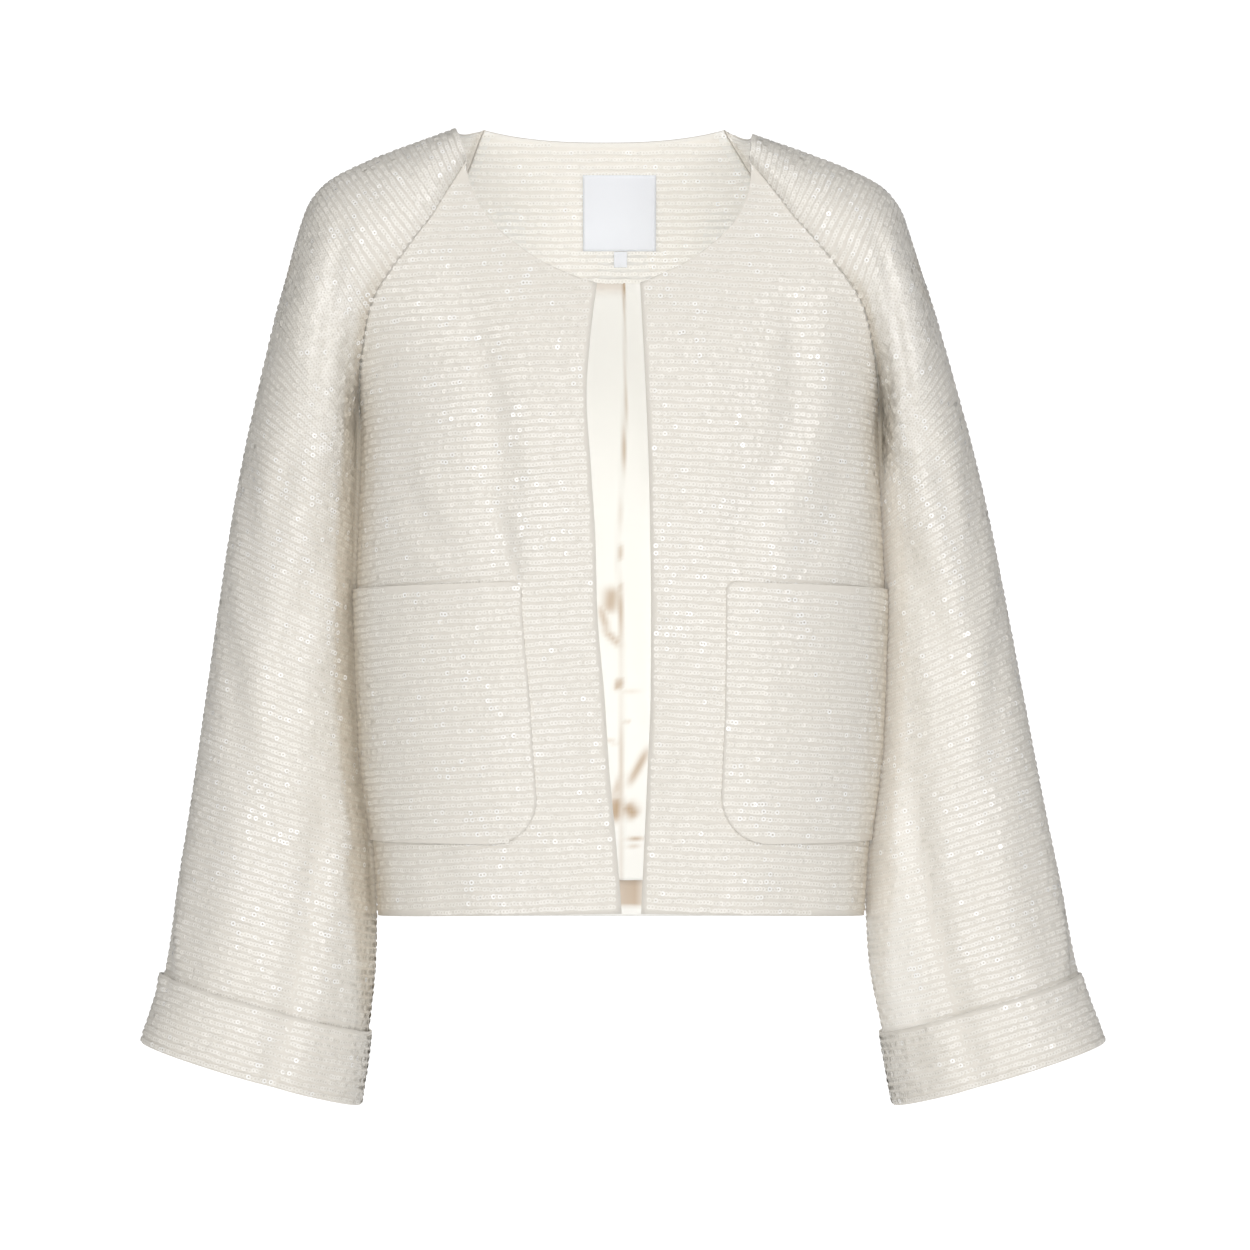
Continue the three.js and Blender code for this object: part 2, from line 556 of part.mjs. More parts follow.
function between(grid, r, c) {
  const [r0, c0] = [Math.min(Math.floor(r), grid.length - 2), Math.min(Math.floor(c), grid[0].length - 2)];
  const low = grid[r0][c0].clone().lerp(grid[r0][c0 + 1], c - c0);
  const high = grid[r0 + 1][c0].clone().lerp(grid[r0 + 1][c0 + 1], c - c0);
  return low.lerp(high, r - r0);
}
const whole = (from, to) => {
  const list = [from];
  for (let i = Math.floor(from) + 1; i < to; i += 1) list.push(i);
  return [...list, to];
};
const SEARCH = 0.01; // of a row or column
const rowAt = (z) => {
  let r = 0;
  while (between(back.grid, r, BACK_COLUMNS / 2).z < z) r += SEARCH;
  return r;
};
const columnAt = (r, x) => {
  let c = 0;
  while (between(back.grid, r, c).x > x) c += SEARCH;
  return c;
};
// A layer inside the back between two depths, on the given rows and columns; raise lifts single points further in
function backLayer(rows, columns, near, far, raise = () => 0) {
  const face = (depth) => rows.map((r) => columns.map((c) => {
    const normal = between(back.normals, r, c).normalize();
    return between(back.grid, r, c).addScaledVector(normal, -depth - raise(c));
  }));
  return wall(face(near), face(far));
}
const facingNear = SHELL + LAYER;
const facingFar = facingNear + FACING;
const SEAM_SHARE = 0.3; // of a column, left free at each raglan or side seam
const facingColumns = whole(SEAM_SHARE, BACK_COLUMNS - SEAM_SHARE);
const NECK_SHARE = 0.04; // of a row, by which facing and lining stop short
const facingRows = whole(FACING_FOOT, BACK_TOP - NECK_SHARE);
addPiece('back_facing', backLayer(facingRows, facingColumns, facingNear, facingFar), 'sequin');

// The facing goes on round the inside of each sleeve's head
const HEAD_FACING = { high: 2.6, edge: 2, top: 0.12 }; // in rows and columns of the sleeve
for (const word of Object.keys(SIDES)) {
  const panel = panelNamed(`sleeve_${word}`);
  const last = panel.grid.length - 1;
  const rows = whole(last - HEAD_FACING.high, last - HEAD_FACING.top);
  const columns = whole(HEAD_FACING.edge, SLEEVE_COLUMNS - HEAD_FACING.edge);
  const layer = (depth) => rows.map((r) => columns.map((c) => {
    const normal = between(panel.normals, r, c).normalize();
    return between(panel.grid, r, c).addScaledVector(normal, -depth);
  }));
  addPiece(`sleeve_facing_${word}`, wall(layer(facingNear), layer(facingFar)), 'sequin');
}

// The lining has a pleat down its middle: it climbs over a column and drops at the pleat's edge
const MIDDLE = BACK_COLUMNS / 2;
const PLEAT = { start: MIDDLE - 0.8, crest: MIDDLE - 0.1, drop: MIDDLE, height: 1.8 };
const LINING_SHARE = 0.7; // of a column, left free at the sides
const liningColumns = [
  ...whole(LINING_SHARE, MIDDLE - 1), PLEAT.start, PLEAT.crest, PLEAT.drop,
  ...whole(MIDDLE + 1, BACK_COLUMNS - LINING_SHARE),
];
const pleatHeight = (c) => {
  if (c <= PLEAT.start || c >= PLEAT.drop) return 0;
  return PLEAT.height * (c - PLEAT.start) / (PLEAT.crest - PLEAT.start);
};
const liningRows = whole(rowAt(LINING_FOOT), FACING_FOOT - NECK_SHARE);
const liningNear = SHELL + LINING_ROOM;
addPiece('lining_back', backLayer(liningRows, liningColumns, liningNear, liningNear + LINING, pleatHeight), 'satin');

// The labels lie on the facing, square at their corners
function addLabel(name, { x0, x1, z0, z1 }) {
  const rows = whole(rowAt(z0), rowAt(z1));
  const face = (depth) => rows.map((r) => {
    const points = [];
    for (let i = 0; i <= LABEL_COLUMNS; i += 1) {
      const c = columnAt(r, mix(x1, x0, i / LABEL_COLUMNS));
      points.push(between(back.grid, r, c).addScaledVector(between(back.normals, r, c).normalize(), -depth));
    }
    return points;
  });
  const near = facingFar + LAYER;
  addPiece(name, wall(face(near), face(near + LABEL)), 'label');
}
addLabel('neck_label', NECK_LABEL);
addLabel('size_tab', SIZE_TAB);

export default jacket;
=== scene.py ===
"""Looks of an open-front jacket in sequin cloth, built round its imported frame.

Metres, the front faces -Y. Tables and surfaces are worked out in millimetres and scaled when a mesh is made.
Left and right are as seen from the front.
"""

import math

import bmesh
import bpy
import numpy as np
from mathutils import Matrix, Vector


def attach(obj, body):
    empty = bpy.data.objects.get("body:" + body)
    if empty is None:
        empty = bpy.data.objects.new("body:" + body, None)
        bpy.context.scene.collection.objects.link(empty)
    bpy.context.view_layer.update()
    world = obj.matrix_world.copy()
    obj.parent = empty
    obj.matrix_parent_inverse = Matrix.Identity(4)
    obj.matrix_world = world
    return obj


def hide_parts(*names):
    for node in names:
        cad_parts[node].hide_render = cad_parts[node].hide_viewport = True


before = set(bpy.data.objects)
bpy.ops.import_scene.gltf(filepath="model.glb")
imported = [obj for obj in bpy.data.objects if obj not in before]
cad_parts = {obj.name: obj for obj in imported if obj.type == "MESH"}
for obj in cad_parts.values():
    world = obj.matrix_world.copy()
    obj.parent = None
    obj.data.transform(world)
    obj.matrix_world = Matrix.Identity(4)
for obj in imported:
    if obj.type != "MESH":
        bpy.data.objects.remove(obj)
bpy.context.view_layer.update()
MM = 0.001
draw = np.random.default_rng(41)


# Cut and sizes in millimetres
def table(names, *rows):
    """Named columns of a short table"""
    return {name: np.array([row[i] for row in rows], float) for i, name in enumerate(names.split())}


UNDERARM = -215
HEM = {"side": -548.5, "front": -542, "back": -555}
POCKET_FOOT = -495
POCKET_MOUTH = {"side": -321.7, "front": -316.6}
LINING_FOOT = -529
BODY_ROUND = 2.4
BODY = table(
    "z half front back",
    (4, 194, 44, 54),
    (-24, 208, 60, 70),
    (-60, 226, 80, 88),
    (-105, 214, 97, 101),
    (-160, 188, 112, 110),
    (-215, 181, 120, 113),
    (-270, 183, 122, 111.5),
    (-322, 185, 124, 110),
    (-425, 182, 124, 108),
    (-500, 173.5, 121, 109),
    (-560, 169.5, 119, 110),
)
OPENING = table(
    "z left right",
    (-112, -4.5, 25),
    (-150, -9, 27),
    (-190, -11.5, 29),
    (-240, -8.5, 31),
    (-292, -5.3, 32),
    (-334, -4.3, 32.5),
    (-398, 1, 32),
    (-438, 3.5, 30.3),
    (-502, 9.3, 27.5),
    (-544, 12.7, 25.6),
)
NECKLINE = table("z reach", (-29, 98.5), (-43, 96), (-67.5, 84), (-93.5, 55), (-107.5, 27))
RAGLAN = table(
    "front_z front_turn back_z back_turn top_x top_z depth neck_z",
    (-24, 23.6, 5, 21.7, 104, 1, 55, -29),
    (-45, 26, -25, 24.5, 126, -6.5, 68, -43),
    (-60, 28.2, -50, 27, 146, -13.5, 76, -67.5),
    (-80, 34, -75, 31.2, 172, -24, 81, -93.5),
    (-105, 43.5, -100.4, 39, 194, -36, 82, -107.5),
    (-132, 56, -130, 52, 207, -52, 80, -112),
    (-160, 69, -160, 65.5, 214.5, -73, 77.5, -146),
    (-190, 80, -189, 79, 222.5, -99, 75, -180),
    (-215, 90, -215, 90, 232, -132, 73, -215),
)
SLEEVE = table(
    "inner_x inner_z outer_x outer_z depth mid_y inner_right",
    (181, -215, 232, -132, 73, 0, 0),
    (179, -250, 247.5, -190, 73, 9, 0),
    (178, -300, 262, -252, 72, 14, 0),
    (178, -370, 275.5, -325, 70, 14, 0),
    (175, -440, 287, -398, 67, 8, 0),
    (170, -510, 298.5, -470, 64, 0, 0),
    (171, -575, 310, -535, 62, -7, 1.5),
    (176, -629, 319, -589, 60, -12, 6),
    (183.5, -680, 334, -637, 58, -16, 8),
)
NECK_RINGS = 8
LAST_RING = 16
RING_STEP = 52
MM_PER_TURN = 1.1
NECK_DIP = 8
SHOULDER_DROP = 4.2
SHOULDER_FADE = 110
POCKET_MARGIN = 51
POCKET_RADIUS = 34
MOUTH_RADIUS = 6
MOUTH_STAND = 1.0
POCKET_THICK = 2.0
LAYER = 0.4
SHELL = 2.2


def smooth_value(places, values, at):
    """A smooth value between table rows that never swings past them; past the ends it runs on straight"""
    at = np.asarray(at, float)
    if places[-1] < places[0]:
        places, at = -places, -at
    slopes = np.diff(values) / np.diff(places)
    before, after = slopes[:-1], slopes[1:]
    same = before * after > 0
    inner = np.where(same, 2 * before * after / np.where(same, before + after, 1), 0)
    tangents = np.concatenate([slopes[:1], inner, slopes[-1:]])
    i = np.clip(np.searchsorted(places, at, side="right") - 1, 0, len(places) - 2)
    step = places[i + 1] - places[i]
    t = (at - places[i]) / step
    inside = (
        (2 * t**3 - 3 * t**2 + 1) * values[i]
        + (t**3 - 2 * t**2 + t) * step * tangents[i]
        + (3 * t**2 - 2 * t**3) * values[i + 1]
        + (t**3 - t**2) * step * tangents[i + 1]
    )
    low = values[0] + slopes[0] * (at - places[0])
    high = values[-1] + slopes[-1] * (at - places[-1])
    return np.where(at < places[0], low, np.where(at > places[-1], high, inside))


def at(rows, name, z):
    return smooth_value(rows["z"], rows[name], z)


def on_ring(rows, name, ring):
    return smooth_value(np.arange(len(rows[name]), dtype=float), rows[name], ring)


def smoothstep(value, low, high):
    t = np.clip((value - low) / (high - low), 0, 1)
    return t * t * (3 - 2 * t)


def unit(vectors):
    return vectors / np.maximum(np.linalg.norm(vectors, axis=-1, keepdims=True), 1e-9)


def body_middle(z):
    return 12 * (1 - np.exp(np.minimum(z, 0) / 90))


def outer_middle(z):
    return 0.024 * np.maximum(0, -80 - z)


# Creases: soft troughs with a low ridge on one side. The places are x from the centre line and z on the body,
# and turns round the sleeve (0 outside, -90 at the front) and rings on a sleeve.
def bowed(start, end, bow):
    """Points on a line from start to end that swings out sideways by bow"""
    start, end = np.array(start, float), np.array(end, float)
    across = np.array([-(end - start)[1], (end - start)[0]])
    t = np.linspace(0, 1, 5)[:, None]
    return start + (end - start) * t + unit(across) * bow * 4 * t * (1 - t)


RIDGE = {"high": 0.42, "away": 1.7, "wide": 1.1}


def crease_depth(places, creases):
    """How deep creases, each a start, end, bow, width and depth, sink a cloth at its places"""
    depth = np.zeros(places.shape[:-1])
    for start, end, bow, width, sink in creases:
        line = bowed(start, end, bow)
        best = np.full(depth.shape, 1e9)
        signed = np.zeros(depth.shape)
        share = np.zeros(depth.shape)
        for i, (a, b) in enumerate(zip(line[:-1], line[1:])):
            along = b - a
            t = np.clip(((places - a) @ along) / (along @ along), 0, 1)
            away = places - (a + t[..., None] * along)
            distance = np.linalg.norm(away, axis=-1)
            closer = distance < best
            turn = along[0] * away[..., 1] - along[1] * away[..., 0]
            best = np.where(closer, distance, best)
            signed = np.where(closer, turn / np.linalg.norm(along), signed)
            share = np.where(closer, (i + t) / (len(line) - 1), share)
        swell = 0.55 + 0.45 * np.sin(math.pi * np.clip(share, 0, 1)) ** 0.7
        trough = np.exp(-((best / width) ** 2))
        past = np.exp(-np.clip(best**2 - signed**2, 0, None) / width**2)
        crest = np.exp(-(((signed - RIDGE["away"] * width) / (RIDGE["wide"] * width)) ** 2))
        ridge = RIDGE["high"] * past * crest * smoothstep(best, 0, 2 * width)
        depth += sink * swell * (trough - ridge * (best < 5 * width))
    return depth


FRONT_CREASES = {
    -1: [
        ((-112, -118), (-84, -304), 12, 12, 3.0),
        ((-54, -140), (-44, -292), -6, 20, -1.3),
        ((-150, -232), (-118, -296), -8, 9, 1.5),
        ((-94, -253), (-74, -312), 2, 7, 1.4),
        ((-73.5, -306), (-70, -315.5), 0.4, 2.6, 0.8),
        ((-36, -200), (-30, -300), 4, 12, 0.9),
        ((-24, -330), (-16, -520), 5, 13, 0.9),
        ((-128, -508), (-120, -542), 2, 12, 1.2),
        ((-66, -506), (-60, -540), -2, 14, 0.9),
    ],
    1: [
        ((120, -124), (112, -232), 6, 12, 2.8),
        ((104, -236), (84, -306), -5, 12, 1.6),
        ((58, -140), (46, -300), 7, 20, -1.3),
        ((150, -236), (128, -300), 7, 10, 1.4),
        ((30, -210), (34, -306), -5, 12, 0.9),
        ((27, -330), (20, -520), -6, 13, 0.9),
        ((126, -508), (118, -542), -3, 13, 1.2),
        ((62, -508), (66, -541), 2, 14, 0.8),
    ],
}
BACK_CREASES = [
    ((-122, -150), (-66, -330), -14, 15, 3.2),
    ((122, -148), (74, -322), 12, 14, 3.0),
    ((-150, -240), (-104, -330), 8, 10, 1.8),
    ((148, -236), (110, -316), -9, 11, 1.7),
    ((-30, -300), (-40, -520), 10, 18, 2.4),
    ((46, -320), (54, -540), -8, 17, 2.1),
    ((4, -60), (8, -200), 5, 16, 1.3),
    ((-74, -60), (-88, -150), 4, 12, 1.2),
    ((78, -62), (90, -146), -5, 12, 1.2),
    ((-108, -420), (-118, -545), 6, 14, 1.6),
    ((110, -400), (116, -540), -5, 15, 1.5),
]
# On a sleeve the places are turn * MM_PER_TURN and ring * RING_STEP
SLEEVE_CREASES = [
    # turn, ring at both ends, then bow, width and depth
    (-70, 4.3, -100, 8.2, 10, 10, 3.2),
    (-98, 8.6, -70, 10.4, -9, 12, 2.6),
    (-124, 10.0, -84, 11.9, -8, 13, 3.0),
    (-118, 12.6, -104, 16.4, -4, 9, 4.0),
    (-30, 9.6, -58, 11.4, 6, 14, 1.8),
    (-22, 11.0, -62, 12.6, 8, 13, 2.4),
    (-40, 12.8, -34, 15.1, 5, 16, 1.9),
    (-78, 12.6, -86, 15.0, 4, 13, 1.4),
    (-8, 14.2, -26, 15.2, -5, 8, 1.8),
    (-48, 5.2, -36, 8.2, -6, 14, 1.4),
    (4, 6.2, -20, 9.0, 7, 15, 1.3),
    (70, 4.4, 108, 8.8, -9, 11, 3.6),
    (112, 8.6, 66, 10.9, 8, 13, 3.2),
    (122, 10.6, 72, 12.6, 9, 13, 3.0),
    (116, 13.0, 100, 16.4, 3, 10, 3.6),
    (30, 9.2, 52, 11.6, -6, 15, 1.8),
    (36, 12.2, 54, 14.9, 7, 14, 2.2),
    (44, 5.4, 30, 8.6, 5, 15, 1.3),
]
SLEEVE_LINES = [
    ((a * MM_PER_TURN, b * RING_STEP), (c * MM_PER_TURN, d * RING_STEP), bow, width, depth)
    for a, b, c, d, bow, width, depth in SLEEVE_CREASES
]


# The body's surface
def body_form(side, turn, z, facing):
    """The body's smooth form; turn is the angle from the centre front (facing -1) or back (facing 1)"""
    power = 2 / BODY_ROUND
    sine = np.sin(np.radians(turn))
    out = np.sign(sine) * np.abs(sine) ** power
    forward = np.clip(np.cos(np.radians(turn)), 0, None) ** power
    depth = at(BODY, "front" if facing < 0 else "back", z)
    x = body_middle(z) + side * at(BODY, "half", z) * out
    return np.stack([x, facing * depth * forward, z + 0 * x], -1)


def turn_of(offset, z):
    share = np.minimum(1, np.abs(offset) / at(BODY, "half", z))
    return np.sign(offset) * np.degrees(np.arcsin(share ** (BODY_ROUND / 2)))


def normals_of(surface, a, b, heart, steps):
    """Directions out of a surface at its own measures a and b; heart gives points inside it"""
    da, db = steps
    across = surface(a + da, b) - surface(a - da, b)
    along = surface(a, b + db) - surface(a, b - db)
    normal = unit(np.cross(across, along))
    outward = surface(a, b) - heart(a, b)
    return normal * np.sign(np.sum(normal * outward, -1, keepdims=True))


BODY_STEPS = (0.4, 1.5)


def body_heart(turn, z):
    return np.stack([body_middle(z) + 0 * turn, 0 * z + 0 * turn, z + 0 * turn], -1)


def seam_turn(word, z):
    """The turn at which a front or the back ends: its side seam, or above the underarm the raglan seam"""
    raglan = smooth_value(RAGLAN[f"{word}_z"], RAGLAN[f"{word}_turn"], np.maximum(z, UNDERARM))
    return np.where(z <= UNDERARM, 90, raglan)


def front_start(side, z, strip=0):
    """The turn where a front starts: a strip away from its edge, or above the opening at the neckline"""
    word = "left" if side < 0 else "right"
    top = OPENING["z"][0]
    edge = side * (at(OPENING, word, z) - body_middle(z))
    corner = side * (at(OPENING, word, top) - body_middle(top))
    neck = smooth_value(np.append(NECKLINE["z"], top), np.append(NECKLINE["reach"], corner), z)
    return turn_of(np.where(z <= top, edge + strip, neck), z)


def front_surface(side):
    """The front's surface with its creases, as a function of turn and z"""
    def surface(turn, z):
        form = lambda t, h: body_form(side, t, h, -1)
        points = form(turn, z)
        places = np.stack([points[..., 0] - body_middle(z), points[..., 2]], -1)
        sunk = crease_depth(places, FRONT_CREASES[side])
        edge = smoothstep(seam_turn("front", z) - turn, 0, 9)
        normal = normals_of(form, turn, z, body_heart, BODY_STEPS)
        return points - normal * (sunk * edge)[..., None]
    return surface


def back_surface(turn, z):
    """The back's surface with its creases; the turn is above zero on the right"""
    form = lambda t, h: body_form(1, t, h, 1)
    points = form(turn, z)
    places = np.stack([points[..., 0] - body_middle(z), points[..., 2]], -1)
    edge = smoothstep(seam_turn("back", z) - np.abs(turn), 0, 8)
    normal = normals_of(form, turn, z, body_heart, BODY_STEPS)
    faced = 0.2 + 0.8 * smoothstep(-z, 98, 135)
    return points - normal * (crease_depth(places, BACK_CREASES) * edge * faced)[..., None]


# The sleeves' surface
BELOW_HEM = 12
CLEAR = {"seam": -0.4, "over": 25, "soft": 0.8}
POCKET_ROOM = POCKET_THICK + LAYER
MOUTH_BAND = 60
POCKET_BESIDE = 9
POCKET_EASE = {"foot": 8, "over": 9}


def body_across(y, z):
    """The body's depth on the side of y, and its half width at y"""
    depth = np.where(y < 0, at(BODY, "front", z), at(BODY, "back", z))
    share = np.clip(1 - (np.abs(y) / depth) ** BODY_ROUND, 0, 1)
    return depth, at(BODY, "half", z) * share ** (1 / BODY_ROUND)


def clear_of_body(points, side, lower):
    """Moves a sleeve's points out of the body and its pocket"""
    x, y, height = points[..., 0], points[..., 1], points[..., 2]
    z = np.maximum(height, HEM["side"])
    depth, half = body_across(y, z)
    inside = (np.abs(y) < depth) & (height <= UNDERARM) & (height >= HEM["side"] - BELOW_HEM) & lower
    beside = smoothstep(-y, 0, POCKET_BESIDE)
    mouth = POCKET_MOUTH["side"]
    near = smoothstep(height, POCKET_FOOT - POCKET_EASE["foot"], POCKET_FOOT)
    near = near * (1 - smoothstep(height, mouth, mouth + POCKET_EASE["over"]))
    below = smoothstep(UNDERARM - height, 0, CLEAR["over"])
    stand = MOUTH_STAND * smoothstep(height, mouth - MOUTH_BAND, mouth)
    least = half + CLEAR["seam"] + (POCKET_ROOM + stand) * beside * near
    spare = side * (x - body_middle(height)) - least
    push = (np.sqrt(spare**2 + (CLEAR["soft"] * below) ** 2) - spare) / 2
    return np.stack([x + side * np.where(inside, push, 0), y, height], -1)


def inner_reach(side, lower):
    """How far a sleeve's inner side is from the body's middle; lower counts rings below the underarm"""
    return on_ring(SLEEVE, "inner_x", lower) + (on_ring(SLEEVE, "inner_right", lower) if side > 0 else 0)


def sleeve_ring(side, ring):
    """A ring's front and back seam points, its outer point, half depth, middle and the turn at the seams"""
    upper = np.minimum(ring, NECK_RINGS)
    lower = np.maximum(ring - NECK_RINGS, 0)
    raglan = (ring <= NECK_RINGS)[..., None]
    z = on_ring(SLEEVE, "inner_z", lower)
    inner = body_middle(z) + side * inner_reach(side, lower)
    closed = np.stack([inner, on_ring(SLEEVE, "mid_y", lower), z], -1)
    front = body_form(side, on_ring(RAGLAN, "front_turn", upper), on_ring(RAGLAN, "front_z", upper), -1)
    back = body_form(side, on_ring(RAGLAN, "back_turn", upper), on_ring(RAGLAN, "back_z", upper), 1)
    front, back = np.where(raglan, front, closed), np.where(raglan, back, closed)
    top_z = on_ring(RAGLAN, "top_z", upper)
    drop = SHOULDER_DROP * np.maximum(0, 1 + top_z / SHOULDER_FADE) if side > 0 else 0
    top = np.stack([side * on_ring(RAGLAN, "top_x", upper) + outer_middle(top_z), 0 * z, top_z - drop], -1)
    low_z = on_ring(SLEEVE, "outer_z", lower)
    low = np.stack([side * on_ring(SLEEVE, "outer_x", lower) + outer_middle(low_z), 0 * z, low_z], -1)
    outer = np.where(raglan, top, low)
    depth = np.where(raglan[..., 0], on_ring(RAGLAN, "depth", upper), on_ring(SLEEVE, "depth", lower))
    gap = (back[..., 1] - front[..., 1]) / 2
    depth = np.maximum(depth, gap)
    end = 180 - np.degrees(np.arcsin(np.clip(gap / depth, -1, 1)))
    return front, back, outer, depth, gap, end


def sleeve_surface(side):
    """The sleeve's surface by ring and by share, from the front seam round the outside to the back"""
    def surface(ring, share):
        ring, share = np.broadcast_arrays(np.asarray(ring, float), np.asarray(share, float))
        front, back, outer, depth, gap, end = sleeve_ring(side, ring)
        turn = np.radians(-end + 2 * end * share)
        reach = np.cos(np.radians(end))
        out = ((np.cos(turn) - reach) / (1 - reach))[..., None]
        across = np.where(gap > 0.01, np.clip(np.sin(turn) * depth / np.maximum(gap, 0.01), -1, 1), 0)
        base = front + (back - front) * ((across + 1) / 2)[..., None]
        points = base + (outer - base) * out
        points[..., 1] = (front[..., 1] + back[..., 1]) / 2 + np.sin(turn) * depth
        places = np.stack([np.degrees(turn) * MM_PER_TURN, ring * RING_STEP], -1)
        sunk = crease_depth(places, SLEEVE_LINES)
        sunk = sunk * np.minimum(1, 4 * np.minimum(share, 1 - share) * np.where(ring <= NECK_RINGS, 1, 2))
        flat = (outer - base) * np.array([1, 0, 1])
        away = unit(flat) * np.cos(turn)[..., None] + np.array([0, 1, 0]) * np.sin(turn)[..., None]
        points = points - away * sunk[..., None]
        return clear_of_body(points, side, ring > NECK_RINGS)
    return surface


def sleeve_heart(side):
    def heart(ring, share):
        ring, share = np.broadcast_arrays(np.asarray(ring, float), np.asarray(share, float))
        front, back, outer, *_ = sleeve_ring(side, ring)
        return ((front + back) / 2 + outer) / 2
    return heart


SLEEVE_STEPS = (0.03, 0.004)


# Shader maths
class Graph:
    """The nodes of a material or of the world, all added through one method"""

    def __init__(self, owner):
        owner.use_nodes = True
        self.owner, self.tree = owner, owner.node_tree
        self.tree.nodes.clear()

    def add(self, kind, settings=None, values=None, out=0):
        node = self.tree.nodes.new(kind)
        for key, value in (settings or {}).items():
            setattr(node, key, value)
        for key, value in (values or {}).items():
            if isinstance(value, Wire):
                self.tree.links.new(value.socket, node.inputs[key])
            else:
                node.inputs[key].default_value = value
        return Wire(self, node.outputs[out]) if len(node.outputs) else None

    def mix_colour(self, share, first, second, blend="MIX"):
        first, second = (value if isinstance(value, Wire) else (*value, 1) for value in (first, second))
        kind = {"data_type": "RGBA", "blend_type": blend}
        return self.add("ShaderNodeMix", kind, {0: share, 6: first, 7: second}, out=2)

    def attribute(self, name):
        """A value that the piece carries at its points"""
        return self.add("ShaderNodeAttribute", {"attribute_name": name}, out=2)

    def fade(self, value, low, high):
        """From 0 to 1 as the value goes from low to high"""
        kind = {"interpolation_type": "SMOOTHSTEP"}
        return self.add("ShaderNodeMapRange", kind, {0: value, 1: low, 2: high})

    def bump(self, height, strength, distance):
        values = {"Strength": strength, "Distance": distance, "Height": height}
        return self.add("ShaderNodeBump", None, values)

    def surface(self, **values):
        values = {key.replace("_", " ").title().replace("Ior", "IOR"): value for key, value in values.items()}
        self.add("ShaderNodeOutputMaterial", None, {0: self.add("ShaderNodeBsdfPrincipled", None, values)})
        return self.owner


def new_finish(name):
    return Graph(bpy.data.materials.new(name))


class Wire:
    """A socket whose arithmetic adds Math nodes"""

    def __init__(self, graph, socket):
        self.graph, self.socket = graph, socket

    def maths(self, operation, *values):
        return self.graph.add("ShaderNodeMath", {"operation": operation}, dict(enumerate(values)))

    def __add__(self, other):
        return self.maths("ADD", self, other)

    def __radd__(self, other):
        return self.maths("ADD", other, self)

    def __sub__(self, other):
        return self.maths("SUBTRACT", self, other)

    def __rsub__(self, other):
        return self.maths("SUBTRACT", other, self)

    def __mul__(self, other):
        return self.maths("MULTIPLY", self, other)

    def __pow__(self, other):
        return self.maths("POWER", self, other)

    def sine(self):
        return self.maths("SINE", self)


def linear(red, green, blue):
    """A colour given in display values from 11 to 255"""
    return tuple(((value / 255 + 0.055) / 1.055) ** 2.4 for value in (red, green, blue))


def cloth_waves(graph, per_metre):
    """Crossing threads from the piece's own UV map, 0 to 1"""
    spot = graph.add("ShaderNodeUVMap", {"uv_map": "cloth"})
    u = graph.add("ShaderNodeSeparateXYZ", None, {0: spot}, out=0)
    v = graph.add("ShaderNodeSeparateXYZ", None, {0: spot}, out=1)
    turn = 2 * math.pi * per_metre
    return ((u * turn).sine() * (v * turn).sine()) * 0.5 + 0.5


def object_noise(graph, scale, detail=2.0, roughness=0.5):
    spot = graph.add("ShaderNodeTexCoord", out=3)
    return graph.add(
        "ShaderNodeTexNoise", None, {"Vector": spot, "Scale": scale, "Detail": detail, "Roughness": roughness}
    )


def beside_glow(graph):
    """Painted shade where a sleeve and the body shade each other, and painted light: a glow the cloth gives
    off, standing for the soft light between them and inside the neck
    """
    shade = graph.attribute("shade")
    glow = graph.mix_colour(shade**6, (0, 0, 0), linear(108, 107, 103))
    return shade, graph.mix_colour(graph.attribute("fill"), glow, linear(110, 111, 112))


def sequin_material():
    graph = new_finish("pearl_sequin")
    tone, glint = graph.attribute("tone"), graph.attribute("glint")
    spot = graph.add("ShaderNodeUVMap", {"uv_map": "ring"})
    reach = graph.add("ShaderNodeVectorMath", {"operation": "LENGTH"}, {0: spot}, out=1)
    hole = graph.fade(reach, 0.44, 0.24)
    rim = graph.fade(reach, 0.45, 0.85)
    edge = graph.fade(reach, 0.82, 0.97)
    cloud = object_noise(graph, 9.0, 3.0)
    shade, glow = beside_glow(graph)
    pearl = graph.mix_colour(tone, linear(225, 221, 213), linear(237, 234, 229))
    pearl = graph.mix_colour(cloud * 0.7, pearl, linear(232, 228, 216))
    # Painted highlight: each ring is lighter towards its rim
    pearl = graph.mix_colour(rim * 0.3, pearl, linear(246, 243, 238))
    # Painted shade: darker where a sleeve and the body shade each other
    pearl = graph.mix_colour(shade, pearl, linear(228, 221, 209), "MULTIPLY")
    # Painted highlight: glinting rings are whitened in their base colour, on top of their glossier coat
    pearl = graph.mix_colour(glint * (0.6 + rim * 0.4), pearl, linear(255, 255, 254))
    # The hole is painted as a dark dot: the ground cloth seen through it, darkened further with painted shade
    pearl = graph.mix_colour(hole * (0.25 + tone * 0.2 + glint * 0.5), pearl, linear(176, 168, 154))
    pearl = graph.mix_colour(edge * (0.45 - glint * 0.2), pearl, linear(208, 202, 191))
    return graph.surface(
        base_color=pearl, roughness=0.42 - tone * 0.12 - glint * 0.14, metallic=0.0, specular_ior_level=0.5,
        coat_weight=0.15 + glint * 0.4, coat_roughness=0.15, emission_color=glow, emission_strength=1.0,
    )


